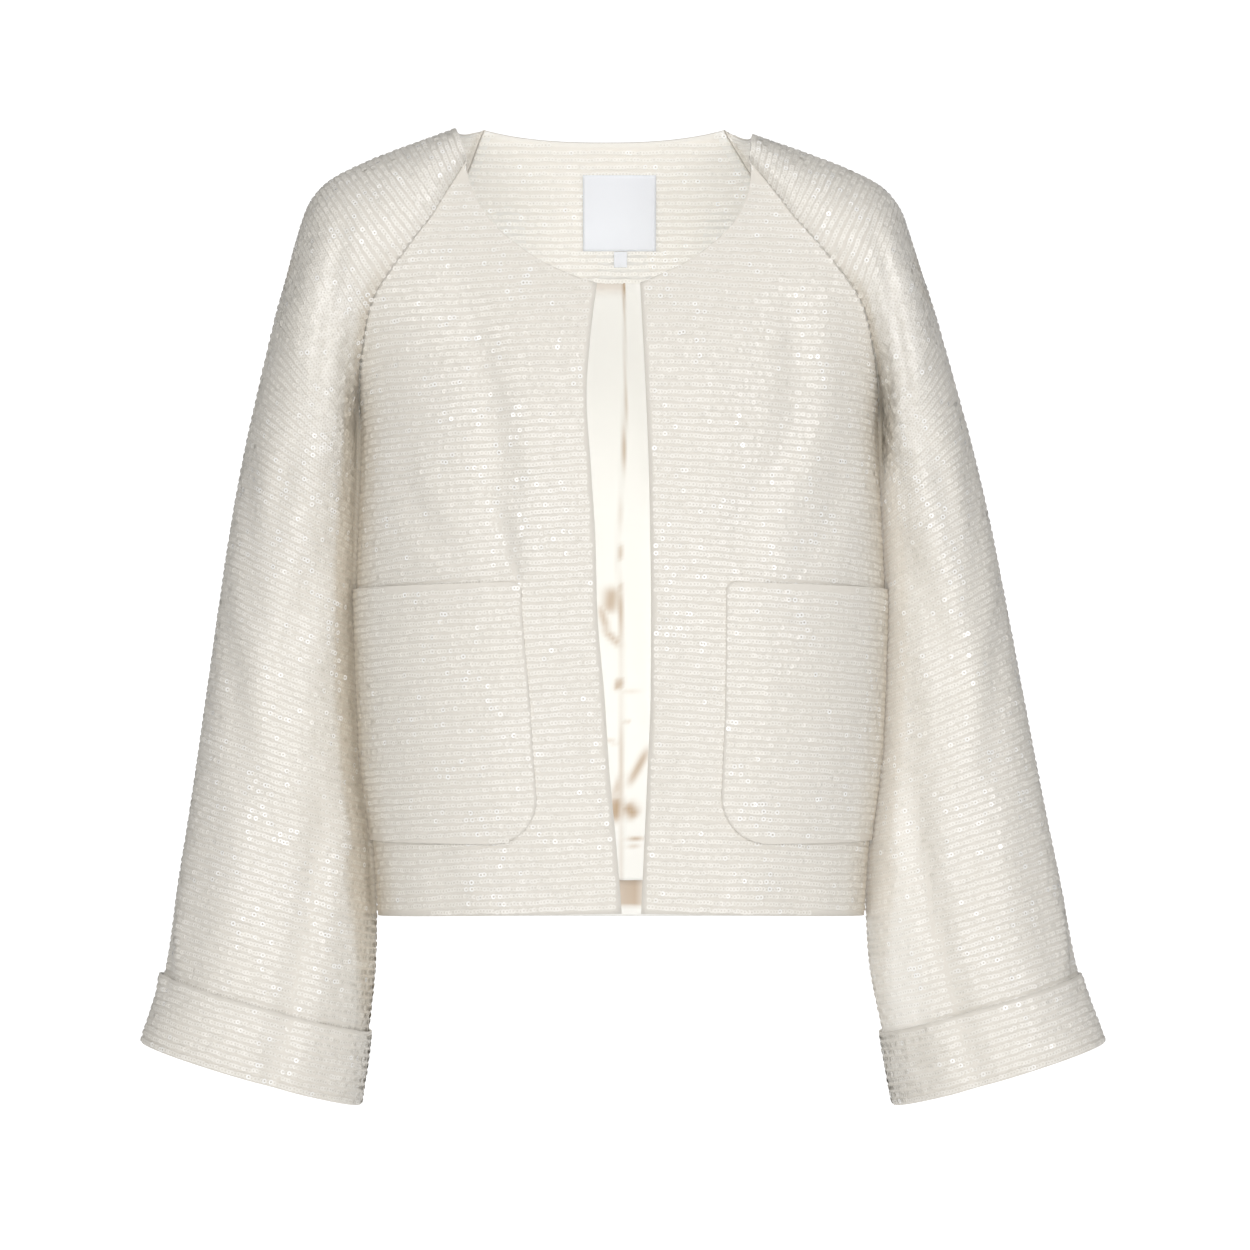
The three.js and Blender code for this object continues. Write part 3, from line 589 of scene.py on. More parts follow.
def ground_material():
    graph = new_finish("sequin_ground_cloth")
    threads = cloth_waves(graph, 900)
    cloud = object_noise(graph, 14.0, 3.0)
    colour = graph.mix_colour(threads, linear(222, 217, 208), linear(235, 231, 223))
    colour = graph.mix_colour(cloud * 0.5, colour, linear(223, 217, 205))
    shade, glow = beside_glow(graph)
    # Painted shade: darker where a sleeve and the body shade each other
    colour = graph.mix_colour(shade, colour, linear(224, 215, 201), "MULTIPLY")
    return graph.surface(
        base_color=colour, roughness=0.85, normal=graph.bump(threads, 0.5, 0.0003), sheen_weight=0.25,
        sheen_roughness=0.4, emission_color=glow, emission_strength=1.0,
    )


def satin_material():
    graph = new_finish("lining_satin")
    threads = cloth_waves(graph, 2600)
    cloud = object_noise(graph, 7.0, 2.0)
    colour = graph.mix_colour(cloud, linear(251, 250, 246), linear(247, 245, 239))
    # Painted shade and painted reflection: the satin turns warm brown where shade falls by the pleat, under
    # the facing and below the lining, and where it reflects what stands before it
    colour = graph.mix_colour(graph.attribute("painted_shade_and_reflection"), colour, linear(186, 156, 122))
    return graph.surface(
        base_color=colour, roughness=0.33, normal=graph.bump(threads, 0.15, 0.0001), specular_ior_level=0.6,
        sheen_weight=0.1,
    )


def label_material():
    graph = new_finish("label_tape")
    threads = cloth_waves(graph, 1600)
    colour = graph.mix_colour(threads, linear(234, 237, 243), linear(241, 243, 248))
    return graph.surface(base_color=colour, roughness=0.6, normal=graph.bump(threads, 0.25, 0.0001))


SEQUIN_FINISH = sequin_material()
GROUND_FINISH = ground_material()
SATIN_FINISH = satin_material()
LABEL_FINISH = label_material()


# Sheets of cloth
def sheet_mesh(name, points, cloth, thickness, finishes, attributes=None):
    """A sheet through a grid of points in millimetres, with its place in the cloth as its UV map.

    Rows run up and columns anticlockwise seen from above, so that its faces point out. Its thickness goes
    inwards. With two finishes the second is on its inner side.
    """
    rows, columns = points.shape[:2]
    form = bmesh.new()
    bmesh.ops.create_grid(form, x_segments=columns - 1, y_segments=rows - 1, size=0.5)
    mesh = bpy.data.meshes.new(name)
    form.to_mesh(mesh)
    form.free()
    count = len(mesh.vertices)
    flat = np.zeros(count * 3)
    mesh.vertices.foreach_get("co", flat)
    flat = flat.reshape(-1, 3)
    c = np.rint((flat[:, 0] + 0.5) * (columns - 1)).astype(int)
    r = np.rint((flat[:, 1] + 0.5) * (rows - 1)).astype(int)
    mesh.vertices.foreach_set("co", (points[r, c] * MM).ravel())
    corner = np.zeros(len(mesh.loops), int)
    mesh.loops.foreach_get("vertex_index", corner)
    layer = mesh.uv_layers.new(name="cloth")
    layer.data.foreach_set("uv", (cloth[r, c][corner] * MM).ravel())
    for key, values in (attributes or {}).items():
        mesh.attributes.new(key, "FLOAT", "POINT").data.foreach_set("value", values[r, c].ravel())
    for finish in finishes:
        mesh.materials.append(finish)
    mesh.polygons.foreach_set("use_smooth", np.ones(len(mesh.polygons), bool))
    mesh.update()
    piece = bpy.data.objects.new(name, mesh)
    bpy.context.scene.collection.objects.link(piece)
    wall = piece.modifiers.new("wall", "SOLIDIFY")
    wall.thickness = thickness * MM
    wall.offset = -1
    wall.use_rim = True
    wall.material_offset = len(finishes) - 1
    wall.material_offset_rim = 0
    return piece


def outward(points):
    """Directions out of a grid of points"""
    across = np.gradient(points, axis=1)
    up = np.gradient(points, axis=0)
    return unit(np.cross(across, up))


def stretches(*parts):
    """Values along several stretches, each with its two ends and its number of steps"""
    values = [np.linspace(low, high, count, endpoint=False) for low, high, count in parts]
    return np.append(np.concatenate(values), parts[-1][1])


# Sequins: rings of film sewn down in rows, each lying a little on the next
SEQUIN = {"radius": 1.78, "corners": 8, "step": 2.35, "row": 5.0, "lift": 0.14, "lean": 0.085}
MARGIN = 1.95
STRAY = {"along": 0.22, "across": 0.16, "size": 0.03, "tilt": 0.075}
LONG_WAVE = {"high": 0.24, "reach": 8.3}
SHORT_WAVE = {"high": 0.2, "reach": 3.1}


def ring_corners():
    """The corners of one sequin in its own plane, counted anticlockwise"""
    form = bmesh.new()
    bmesh.ops.create_circle(form, segments=SEQUIN["corners"], radius=1)
    corners = np.array([v.co[:2] for v in form.verts])
    form.free()
    return corners[np.argsort(np.arctan2(corners[:, 1], corners[:, 0]))]


CORNERS = ring_corners()


def waves(points, seed):
    """Slow waves over a cloth, two values for each point"""
    source = np.random.default_rng(seed)
    total = np.zeros((len(points), 2))
    for scale in (95, 60, 38, 24):
        for k in range(2):
            direction = unit(source.normal(size=3)) * 2 * math.pi / scale
            total[:, k] += np.sin(points @ direction + source.uniform(0, 6.3)) / 2
    return total


def strew(name, surface, heart, steps, rows, lift=0.0, flip=False, shaded=None, fill=0.0, bright=None):
    """Sews sequins along rows, each row a pair of the surface's two measures.

    Shaded, fill and bright give the shade, the soft light and the share of extra glints at those measures.
    Flip turns the sequins to the inner side.
    """
    spots = []
    for i, (a, b) in enumerate(rows):
        line = surface(a, b)
        along = np.concatenate([[0], np.cumsum(np.linalg.norm(np.diff(line, axis=0), axis=1))])
        if along[-1] < 4 * MARGIN:
            continue
        count = round((along[-1] - 2 * MARGIN) / SEQUIN["step"])
        places = np.linspace(MARGIN, along[-1] - MARGIN, count + 1)
        places[1:-1] += draw.normal(0, STRAY["along"], count - 1)
        first, second = draw.uniform(0, 2 * math.pi, 2)
        long = LONG_WAVE["high"] * np.sin(places / LONG_WAVE["reach"] + first)
        wander = long + SHORT_WAVE["high"] * np.sin(places / SHORT_WAVE["reach"] + second)
        on_surface = [np.interp(places, along, measure) for measure in (a, b)]
        spots.append(np.stack([*on_surface, 0 * places + i, wander]))
    a, b, row, wander = np.concatenate(spots, axis=1)
    centre = surface(a, b)
    normal = normals_of(surface, a, b, heart, steps)
    if flip:
        normal = -normal
    ends = np.roll(centre, -1, axis=0) - centre
    last = np.roll(row, -1) != row
    ends[last] = -(np.roll(centre, 1, axis=0) - centre)[last]
    across = unit(ends - normal * np.sum(ends * normal, -1, keepdims=True))
    patch = waves(centre, 23)
    share = 0.006 + 0.11 * smoothstep(patch[:, 0], 0.3, 1.0) + 0.06 * smoothstep(patch[:, 1], 0.3, 0.9)
    share = share + (bright(a, b) if bright else 0)
    glint = np.where(draw.random(len(centre)) < share, draw.uniform(0.4, 1, len(centre)), 0)
    tone = np.clip(draw.beta(2, 2, len(centre)) + 0.12 * patch[:, 1], 0, 1)
    shade = shaded(a, b) if shaded else 0 * tone
    filled = (fill(a, b) if callable(fill) else fill) + 0 * tone
    sway = waves(centre, 7) * 0.03 + draw.normal(0, STRAY["tilt"], (len(centre), 2))
    facing = unit(normal - across * (SEQUIN["lean"] + sway[:, :1]) + np.cross(normal, across) * sway[:, 1:])
    across = unit(across - facing * np.sum(across * facing, -1, keepdims=True))
    up = np.cross(facing, across)
    off = np.cross(normal, across) * (wander + draw.normal(0, STRAY["across"], len(centre)))[:, None]
    rise = draw.random(len(centre)) ** 4 * 0.16 + 0.18 * (glint > 0)
    centre = centre + normal * (lift + SEQUIN["lift"] + rise)[:, None] + off
    turn = draw.uniform(0, 2 * math.pi, len(centre))
    cosine, sine = np.cos(turn)[:, None, None], np.sin(turn)[:, None, None]
    size = (SEQUIN["radius"] * draw.normal(1, STRAY["size"], len(centre)))[:, None, None]
    x, y = CORNERS[None, :, :1] * size, CORNERS[None, :, 1:2] * size
    points = (
        centre[:, None]
        + across[:, None] * (x * cosine - y * sine)
        + up[:, None] * (x * sine + y * cosine)
    )
    count, corners = points.shape[:2]
    mesh = bpy.data.meshes.new(name)
    mesh.vertices.add(count * corners)
    mesh.vertices.foreach_set("co", (points * MM).ravel())
    mesh.loops.add(count * corners)
    mesh.loops.foreach_set("vertex_index", np.arange(count * corners))
    mesh.polygons.add(count)
    mesh.polygons.foreach_set("loop_start", np.arange(count) * corners)
    mesh.uv_layers.new(name="ring").data.foreach_set("uv", np.tile(CORNERS, (count, 1)).ravel())
    for key, values in (("tone", tone), ("glint", glint), ("shade", shade), ("fill", filled)):
        mesh.attributes.new(key, "FLOAT", "POINT").data.foreach_set("value", np.repeat(values, corners))
    mesh.materials.append(SEQUIN_FINISH)
    mesh.update(calc_edges=True)
    mesh.validate()
    piece = bpy.data.objects.new(name, mesh)
    bpy.context.scene.collection.objects.link(piece)
    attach(piece, "root")
    return piece


GROUND_DEPTH = 0.35
CLOTH_THICK = 1.4


def body_shade(turn, z):
    """Where a sleeve shades the body beside it"""
    return (0.4 * smoothstep(turn, 60, 73) + 0.45 * smoothstep(turn, 74, 80)) * smoothstep(-z, 150, 225)


# By side: how dark the body makes the band beside it on a sleeve, and how much soft light fills that band
BAND = {-1: 0.78, 1: 0.4}
SOFTER = {-1: 0.0, 1: 0.85}


def sleeve_fill(side):
    """The soft light that a sleeve gets from the body beside it"""
    def fill(ring, share):
        near = 1 - smoothstep(np.minimum(share, 1 - share), 0.13, 0.19)
        return SOFTER[side] * near * smoothstep(ring, 8.3, 9.3)
    return fill


def sleeve_bright(ring, share):
    """Where the sleeves catch the light: beside the body and down the front, and the same at the back"""
    across = np.minimum(share, 1 - share)
    beside = 0.13 * np.exp(-(((across - 0.15) / 0.022) ** 2)) * smoothstep(ring, 8, 9)
    down = 0.12 * np.exp(-(((across - 0.285) / 0.03) ** 2))
    down = down * smoothstep(ring, 9, 10) * (1 - smoothstep(ring, 13, 15))
    return (beside + down) * (0.55 + 0.45 * np.sin(ring * 5.3 + 7 * share))


def sleeve_shade(side, surface):
    """Where the body shades a sleeve beside it"""
    def shade(ring, share):
        points = surface(ring, share)
        y, z = points[..., 1], np.maximum(points[..., 2], HEM["side"])
        spare = side * (points[..., 0] - body_middle(z)) - body_across(y, z)[1]
        inner = inner_reach(side, np.maximum(ring - NECK_RINGS, 0))
        from_inner = side * (points[..., 0] - body_middle(points[..., 2])) - inner
        band = 15 * (1 - smoothstep(-points[..., 2], 500, 650))
        beside = 1 - smoothstep(np.where(z > -500, spare, from_inner), band, band + 8)
        beside = BAND[side] * beside * (1 - smoothstep(-points[..., 2], 600, 650))
        beside = beside + (1 - BAND[side]) * (1 - smoothstep(spare, 2, 5)) * (z > HEM["side"])
        seam = 0.6 * (1 - smoothstep(np.minimum(share, 1 - share), 0.015, 0.06)) * smoothstep(ring, 3, 5.5)
        return np.where(ring > NECK_RINGS, beside, seam + (beside - seam) * smoothstep(ring, 6, 8))
    return shade


def finish_sheet(piece, node, slot, **facts):
    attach(piece, "root")
    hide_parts(node)


# Fronts
def front_points(side):
    """The front's grid as turns and heights"""
    rows = []
    lower = stretches((0, 1, 9), (1, 2, 36), (2, 3, 22))
    heights = {
        "front": np.interp(lower, [0, 1, 2, 3], [HEM["front"], POCKET_FOOT, POCKET_MOUTH["front"], UNDERARM]),
        "side": np.interp(lower, [0, 1, 2, 3], [HEM["side"], POCKET_FOOT, POCKET_MOUTH["side"], UNDERARM]),
    }
    rings = stretches((8, 0, 40))[1:]
    neck_z = on_ring(RAGLAN, "neck_z", rings)
    start_z = np.append(heights["front"], neck_z)
    end_z = np.append(heights["side"], on_ring(RAGLAN, "front_z", rings))
    start = front_start(side, start_z)
    end = np.append(np.full(len(lower), 90.0), on_ring(RAGLAN, "front_turn", rings))
    share = np.linspace(0, 1, 53)
    turn = start[:, None] + (end - start)[:, None] * share
    z = start_z[:, None] + (end_z - start_z)[:, None] * share
    return turn, z


def runs(first, second, kept):
    """The unbroken parts of a row that are kept"""
    index = np.flatnonzero(kept)
    parts = np.split(index, np.flatnonzero(np.diff(index) > 1) + 1)
    return [(first[part], second[part]) for part in parts if len(part) > 3]


EDGE_STRIP = 1.5
HEM_STRIP = 2.3


def front_rows(side, skip):
    """Rows of sequins on a front: they rise from the side seam to the front edge"""
    rows = []
    for z in np.arange(HEM["side"] - 10, -30, SEQUIN["row"]):
        rise = 11 + 7 * smoothstep(z, -540, -420) - 5 * smoothstep(z, -330, -200)
        turn = np.linspace(0, 90, 200)
        height = z + rise * (1 - turn / 90) + 0.4 * np.sin(turn / 6 + z / 23)
        start = front_start(side, height, EDGE_STRIP)
        hem = HEM["front"] + (HEM["side"] - HEM["front"]) * turn / 90
        inside = (turn > start) & (turn < seam_turn("front", height)) & (height > hem + HEM_STRIP)
        rows += runs(turn, height, inside & ~skip(turn, height))
    return rows


def pocket_start(side, z):
    """The turn of a pocket's inner edge, with the rounded corner at its foot"""
    word = "left" if side < 0 else "right"
    over = np.clip(POCKET_RADIUS - (z - POCKET_FOOT), 0, POCKET_RADIUS)
    inset = POCKET_RADIUS - np.sqrt(POCKET_RADIUS**2 - over**2)
    over = np.clip(MOUTH_RADIUS - (POCKET_MOUTH["front"] - z), 0, MOUTH_RADIUS)
    inset = inset + MOUTH_RADIUS - np.sqrt(MOUTH_RADIUS**2 - over**2)
    offset = side * (at(OPENING, word, z) - body_middle(z)) + POCKET_MARGIN + inset
    return turn_of(offset, z)


def pocket_top(turn):
    """The height of the pocket's mouth"""
    return POCKET_MOUTH["front"] + (POCKET_MOUTH["side"] - POCKET_MOUTH["front"]) * turn / 90


def under_pocket(side):
    def hidden(turn, z):
        return (turn > pocket_start(side, z) + 1.2) & (z > POCKET_FOOT + 3) & (z < pocket_top(turn) - 9)
    return hidden


BODY_MM_PER_TURN = 2.7


def cloth_of(turn, z):
    return np.stack([turn * BODY_MM_PER_TURN, z], -1)


def sunk_points(surface, heart, steps, a, b, depth):
    normal = normals_of(surface, a, b, heart, steps)
    return surface(a, b) - normal * np.asarray(depth)[..., None]


def ordered(side, *grids):
    """Grids with their columns anticlockwise seen from above"""
    return [grid[:, ::-1] if side < 0 else grid for grid in grids]


SIDES = {"left": -1, "right": 1}
FRONT_CUT = {"flat": (0.285, 0.525), "area": 0.102}
for word, side in SIDES.items():
    surface = front_surface(side)
    turn, z = ordered(side, *front_points(side))
    points = sunk_points(surface, body_heart, BODY_STEPS, turn, z, GROUND_DEPTH + 0 * z)
    panel = sheet_mesh(f"front_{word}_cloth", points, cloth_of(turn, z), CLOTH_THICK,
                       [GROUND_FINISH, SATIN_FINISH], {"shade": body_shade(turn, z)})
    rows = front_rows(side, under_pocket(side))
    rings = strew(f"front_{word}_sequins", surface, body_heart, BODY_STEPS, rows, -GROUND_DEPTH,
                  shaded=body_shade)
    finish_sheet(panel, f"front_{word}", "sequin_cloth", held="hung", rests_on=["back"], with_pieces=[rings],
                 **FRONT_CUT)


# Back
def back_points():
    lower = stretches((0, 1, 26), (1, 2, 36), (2, 3, 22))
    middle = np.interp(lower, [0, 1, 2, 3], [HEM["back"], POCKET_FOOT, POCKET_MOUTH["side"], UNDERARM])
    outer = np.interp(lower, [0, 1, 2, 3], [HEM["side"], POCKET_FOOT, POCKET_MOUTH["side"], UNDERARM])
    rings = stretches((8, 0, 40))[1:]
    side_z = on_ring(RAGLAN, "back_z", rings)
    middle = np.append(middle, side_z - NECK_DIP * np.clip(1 - rings, 0, 1))
    outer = np.append(outer, side_z)
    end = np.append(np.full(len(lower), 90.0), on_ring(RAGLAN, "back_turn", rings))
    share = np.linspace(1, -1, 97)
    turn = end[:, None] * share
    z = middle[:, None] + (outer - middle)[:, None] * share**2
    return turn, z


def back_rows(low, high, widest=None):
    rows = []
    for z in np.arange(low, high, SEQUIN["row"]):
        sag = (HEM["side"] - HEM["back"]) * smoothstep(-z, -POCKET_FOOT, -HEM["side"])
        turn = np.linspace(90, -90, 400)
        height = z - sag * (1 - (turn / 90) ** 2)
        end = seam_turn("back", height)
        if widest is not None:
            end = np.minimum(end, widest)
        neck = on_ring(RAGLAN, "back_z", 0.0) - NECK_DIP * (1 - np.clip(turn / 21.7, -1, 1) ** 2)
        rows += runs(turn, height, (np.abs(turn) < end) & (height < neck - 1.5))
    return rows


def back_shade(turn, z):
    return body_shade(np.abs(turn), z)


turn, z = back_points()
points = sunk_points(back_surface, body_heart, BODY_STEPS, turn, z, GROUND_DEPTH + 0 * z)
# Painted shade: the back's inner satin is painted warm brown in the shadow between the lining's foot and the
# hem
shade_below_lining = smoothstep(z, -549, -546.5) * (1 - smoothstep(z, -530, -526))
shade_below_lining = 0.8 * shade_below_lining * np.exp(-(((points[..., 0] - 19) / 11) ** 4))
panel = sheet_mesh("back_cloth", points, cloth_of(turn, z), CLOTH_THICK, [GROUND_FINISH, SATIN_FINISH],
                   {"painted_shade_and_reflection": shade_below_lining, "shade": back_shade(turn, z)})
rows = back_rows(HEM["side"] + 2.5, -4)
rings = strew("back_sequins", back_surface, body_heart, BODY_STEPS, rows, -GROUND_DEPTH, shaded=back_shade)
finish_sheet(panel, "back", "sequin_cloth", flat=(0.58, 0.56), area=0.232, held="hung",
             rests_on=["sleeve_left", "sleeve_right"], with_pieces=[rings])


# Sleeves and cuffs
def even_rings(surface, first, last, pitch):
    """Rings a pitch apart along the sleeve"""
    ring = np.linspace(first, last, 400)
    lines = [surface(ring, np.full(400, share)) for share in (0.22, 0.5, 0.78)]
    steps = np.mean([np.linalg.norm(np.diff(line, axis=0), axis=1) for line in lines], axis=0)
    along = np.concatenate([[0], np.cumsum(steps)])
    return np.interp(np.arange(MARGIN, along[-1] - MARGIN * 0.5, pitch), along, ring)


SLEEVE_END = LAST_RING - 2.8 / RING_STEP
CUFF_TOP = 52
for word, side in SIDES.items():
    surface, heart = sleeve_surface(side), sleeve_heart(side)
    ring = stretches((SLEEVE_END, NECK_RINGS, 76), (NECK_RINGS, 0, 48))[:, None] + np.zeros(73)
    share = np.linspace(0, 1, 73) + 0 * ring
    ring, share = ordered(side, ring, share)
    points = sunk_points(surface, heart, SLEEVE_STEPS, ring, share, GROUND_DEPTH + 0 * ring)
    turn = sleeve_ring(side, ring)[5] * (2 * share - 1)
    cloth = np.stack([turn * MM_PER_TURN, -ring * RING_STEP], -1)
    shaded = sleeve_shade(side, surface)
    panel = sheet_mesh(f"sleeve_{word}_cloth", points, cloth, CLOTH_THICK, [GROUND_FINISH, SATIN_FINISH],
                       {"shade": shaded(ring, share), "fill": sleeve_fill(side)(ring, share)})
    hidden = (CUFF_TOP - 6) / RING_STEP
    shares = np.linspace(0, 1, 240)
    row_rings = even_rings(surface, 0, LAST_RING - hidden, SEQUIN["row"])
    rows = [(np.full(240, value), shares) for value in row_rings]
    rings = strew(f"sleeve_{word}_sequins", surface, heart, SLEEVE_STEPS, rows, -GROUND_DEPTH, shaded=shaded,
                  fill=sleeve_fill(side), bright=sleeve_bright)
    finish_sheet(panel, f"sleeve_{word}", "sequin_cloth", flat=(0.40, 0.66), area=0.235, held="hung",
                 rests_on=["back"], with_pieces=[rings])

CUFF = table(
    "out up",
    (-1.9, 1.4), (-1.2, 0.3), (0.2, 0.0), (1.5, 0.2), (2.4, 1.3), (2.7, 3.5), (2.7, 12), (2.6, 30), (2.2, 52),
)
TURNED_CLOTH = 1.2
CUFF_ROUND = 400


def cuff_surface(side):
    """The turned-up cuff as a function of its own length and share"""
    base, heart = sleeve_surface(side), sleeve_heart(side)
    length = np.concatenate([[0], np.cumsum(np.hypot(np.diff(CUFF["out"]), np.diff(CUFF["up"])))])

    def surface(along, share):
        along, share = np.broadcast_arrays(np.asarray(along, float), np.asarray(share, float))
        up = np.interp(along, length, CUFF["up"])
        lip = np.sin(2 * math.pi * 5 * share + 1.1 * side) + np.sin(2 * math.pi * 3 * share + 4.2)
        lip = np.clip(lip, 0, 1)
        out = np.interp(along, length, CUFF["out"]) + 1.5 * lip * smoothstep(up, 38, 52)
        ring = LAST_RING - up / RING_STEP
        wrapped = np.mod(share, 1.0)
        normal = normals_of(base, ring, np.clip(wrapped, 0.006, 0.994), heart, SLEEVE_STEPS)
        edge = np.minimum(wrapped, 1 - wrapped)
        blend = smoothstep(edge, 0, 0.03)[..., None]
        first = normals_of(base, ring, 0 * ring + 0.03, heart, SLEEVE_STEPS)
        last = normals_of(base, ring, 0 * ring + 0.97, heart, SLEEVE_STEPS)
        normal = unit(normal * blend + unit(first + last) * (1 - blend))
        return base(ring, share) + normal * out[..., None]
    return surface, length[-1]


for word, side in SIDES.items():
    surface, length = cuff_surface(side)

    def heart(along, share):
        return sleeve_heart(side)(LAST_RING + 0 * np.asarray(along, float), share)

    along = stretches((0, 6.5, 8), (6.5, length, 10))[:, None] + np.zeros(73)
    share = np.linspace(0, 1, 73) + 0 * along
    along, share = ordered(side, along, share)
    cloth = np.stack([share * CUFF_ROUND, along], -1)
    panel = sheet_mesh(f"cuff_{word}_cloth", surface(along, share), cloth, TURNED_CLOTH,
                       [GROUND_FINISH, SATIN_FINISH])
    shares = np.linspace(0, 1, 240)
    rows = [(np.full(240, value), shares) for value in np.arange(7, length - 1, SEQUIN["row"])]
    rings = strew(f"cuff_{word}_sequins", surface, heart, (0.6, 0.004), rows, 0.0)
    finish_sheet(panel, f"cuff_{word}", "sequin_cloth", flat=(0.38, 0.064), held="folded",
                 rests_on=[f"sleeve_{word}"], with_pieces=[rings])


# Pockets
def pocket_surface(side):
    base = front_surface(side)

    def surface(turn, z):
        mouth = smoothstep(z, pocket_top(turn) - 58, pocket_top(turn))
        straight = np.clip(z, POCKET_FOOT + POCKET_RADIUS, POCKET_MOUTH["front"] - MOUTH_RADIUS)
        start = pocket_start(side, straight)
        near = np.clip((turn - start) / (90 - start), 0, 1)
        flat = 0.4 + 0.6 * smoothstep(near, 0, 0.14)
        stand = LAYER + POCKET_THICK * flat + MOUTH_STAND * mouth * near**1.5
        normal = normals_of(base, turn, z, body_heart, BODY_STEPS)
        return base(turn, z) + normal * stand[..., None]
    return surface


for word, side in SIDES.items():
    surface = pocket_surface(side)
    share = np.linspace(0, 1, 49)
    foot = POCKET_FOOT + (1 - np.cos(np.linspace(0, math.pi / 2, 13))) * POCKET_RADIUS
    straight = np.linspace(POCKET_FOOT + POCKET_RADIUS, POCKET_MOUTH["front"] - MOUTH_RADIUS, 29)[1:]
    corner = POCKET_MOUTH["front"] - MOUTH_RADIUS * (1 - np.sin(np.linspace(0, math.pi / 2, 9)[1:]))
    z_edge = np.concatenate([foot, straight, corner])
    z_side = np.interp(z_edge, [POCKET_FOOT, POCKET_MOUTH["front"]], [POCKET_FOOT, POCKET_MOUTH["side"]])
    start = pocket_start(side, z_edge)
    turn = start[:, None] + (90 - start)[:, None] * share
    z = z_edge[:, None] + (z_side - z_edge)[:, None] * share
    turn, z = ordered(side, turn, z)
    points = surface(turn, z) - outward(surface(turn, z)) * GROUND_DEPTH
    panel = sheet_mesh(f"pocket_{word}_cloth", points, cloth_of(turn, z), TURNED_CLOTH,
                       [GROUND_FINISH, GROUND_FINISH], {"shade": body_shade(turn, z)})
    rows = []
    for height in np.arange(POCKET_FOOT - 5, POCKET_MOUTH["front"] + 9, SEQUIN["row"]):
        rise = 11 + 3 * smoothstep(height, POCKET_FOOT, POCKET_MOUTH["front"])
        turns = np.linspace(0, 89, 200)
        heights = height + rise * (0.5 - turns / 90)
        inside = (heights > POCKET_FOOT + 2.2) & (heights < pocket_top(turns) - 2)
        rows += runs(turns, heights, inside & (turns > pocket_start(side, heights)))
    rings = strew(f"pocket_{word}_sequins", surface, body_heart, BODY_STEPS, rows, -GROUND_DEPTH,
                  shaded=body_shade)
    finish_sheet(panel, f"pocket_{word}", "sequin_cloth", flat=(0.185, 0.18), held="hung",
                 rests_on=[f"front_{word}_cloth"], with_pieces=[rings])


# Inside the back: facing, lining, labels
FACING_THICK = 1.2
FACING_CLOTH = 1.4
FACING_DEPTH = SHELL + LAYER + FACING_THICK - 0.6
FACING_FOOT = 4
SEAM_RINGS = np.linspace(0, NECK_RINGS, 65)


def seam_directions(side, facing):
    """Directions shared by the two sheets that meet at a raglan seam, ring by ring"""
    word = "front" if facing < 0 else "back"
    turn, z = on_ring(RAGLAN, f"{word}_turn", SEAM_RINGS), on_ring(RAGLAN, f"{word}_z", SEAM_RINGS)
    form = lambda t, h: body_form(side, t, h, facing)
    body = normals_of(form, turn, z, body_heart, BODY_STEPS)
    share = np.full(len(SEAM_RINGS), 0.005 if facing < 0 else 0.995)
    sleeve = normals_of(sleeve_surface(side), SEAM_RINGS, share, sleeve_heart(side), SLEEVE_STEPS)
    return unit(body + sleeve)


SEAM = {(side, facing): seam_directions(side, facing) for side in (-1, 1) for facing in (-1, 1)}


def blended(normal, side, facing, ring, share):
    """Normals that turn to the seam's shared direction as share goes to 1"""
    near = [np.interp(ring, SEAM_RINGS, SEAM[side, facing][:, k]) for k in range(3)]
    return unit(normal * (1 - share)[..., None] + np.stack(near, -1) * share[..., None])


def inside_back(depth):
    """The back's inner side at a depth, as a function of turn and z"""
    def surface(turn, z):
        form = lambda t, h: body_form(1, t, h, 1)
        turn, z = np.broadcast_arrays(np.asarray(turn, float), np.asarray(z, float))
        normal = normals_of(form, turn, z, body_heart, BODY_STEPS)
        ring = np.interp(-z, -RAGLAN["back_z"], np.arange(len(RAGLAN["back_z"])))
        share = smoothstep(np.abs(turn) / seam_turn("back", z), 0.8, 1) * (z > UNDERARM)
        left = blended(normal, -1, 1, ring, share)
        right = blended(normal, 1, 1, ring, share)
        normal = np.where((turn < 0)[..., None], left, right)
        return form(turn, z) - normal * np.asarray(depth)[..., None]
    return surface


def facing_shade(turn, z):
    return 0.5 * smoothstep(np.abs(turn) / seam_turn("back", z), 0.94, 1)


facing = inside_back(FACING_DEPTH)
ring = stretches((FACING_FOOT, 0.005, 26))[:, None]
share = np.linspace(-0.995, 0.995, 97)
end = on_ring(RAGLAN, "back_turn", ring)
turn = end * share
z = on_ring(RAGLAN, "back_z", ring) - NECK_DIP * np.clip(1 - ring, 0, 1) * (1 - share**2)
across = body_form(1, turn, z, 1)[..., 0]
sag = 1.3 * np.exp(-(((across - 17) / 8) ** 2)) - 0.5 * np.sin(across / 9)
z = z - sag * smoothstep(ring, 3, FACING_FOOT)
cloth = cloth_of(turn, z)
points = inside_back(FACING_DEPTH - FACING_CLOTH)(turn, z)
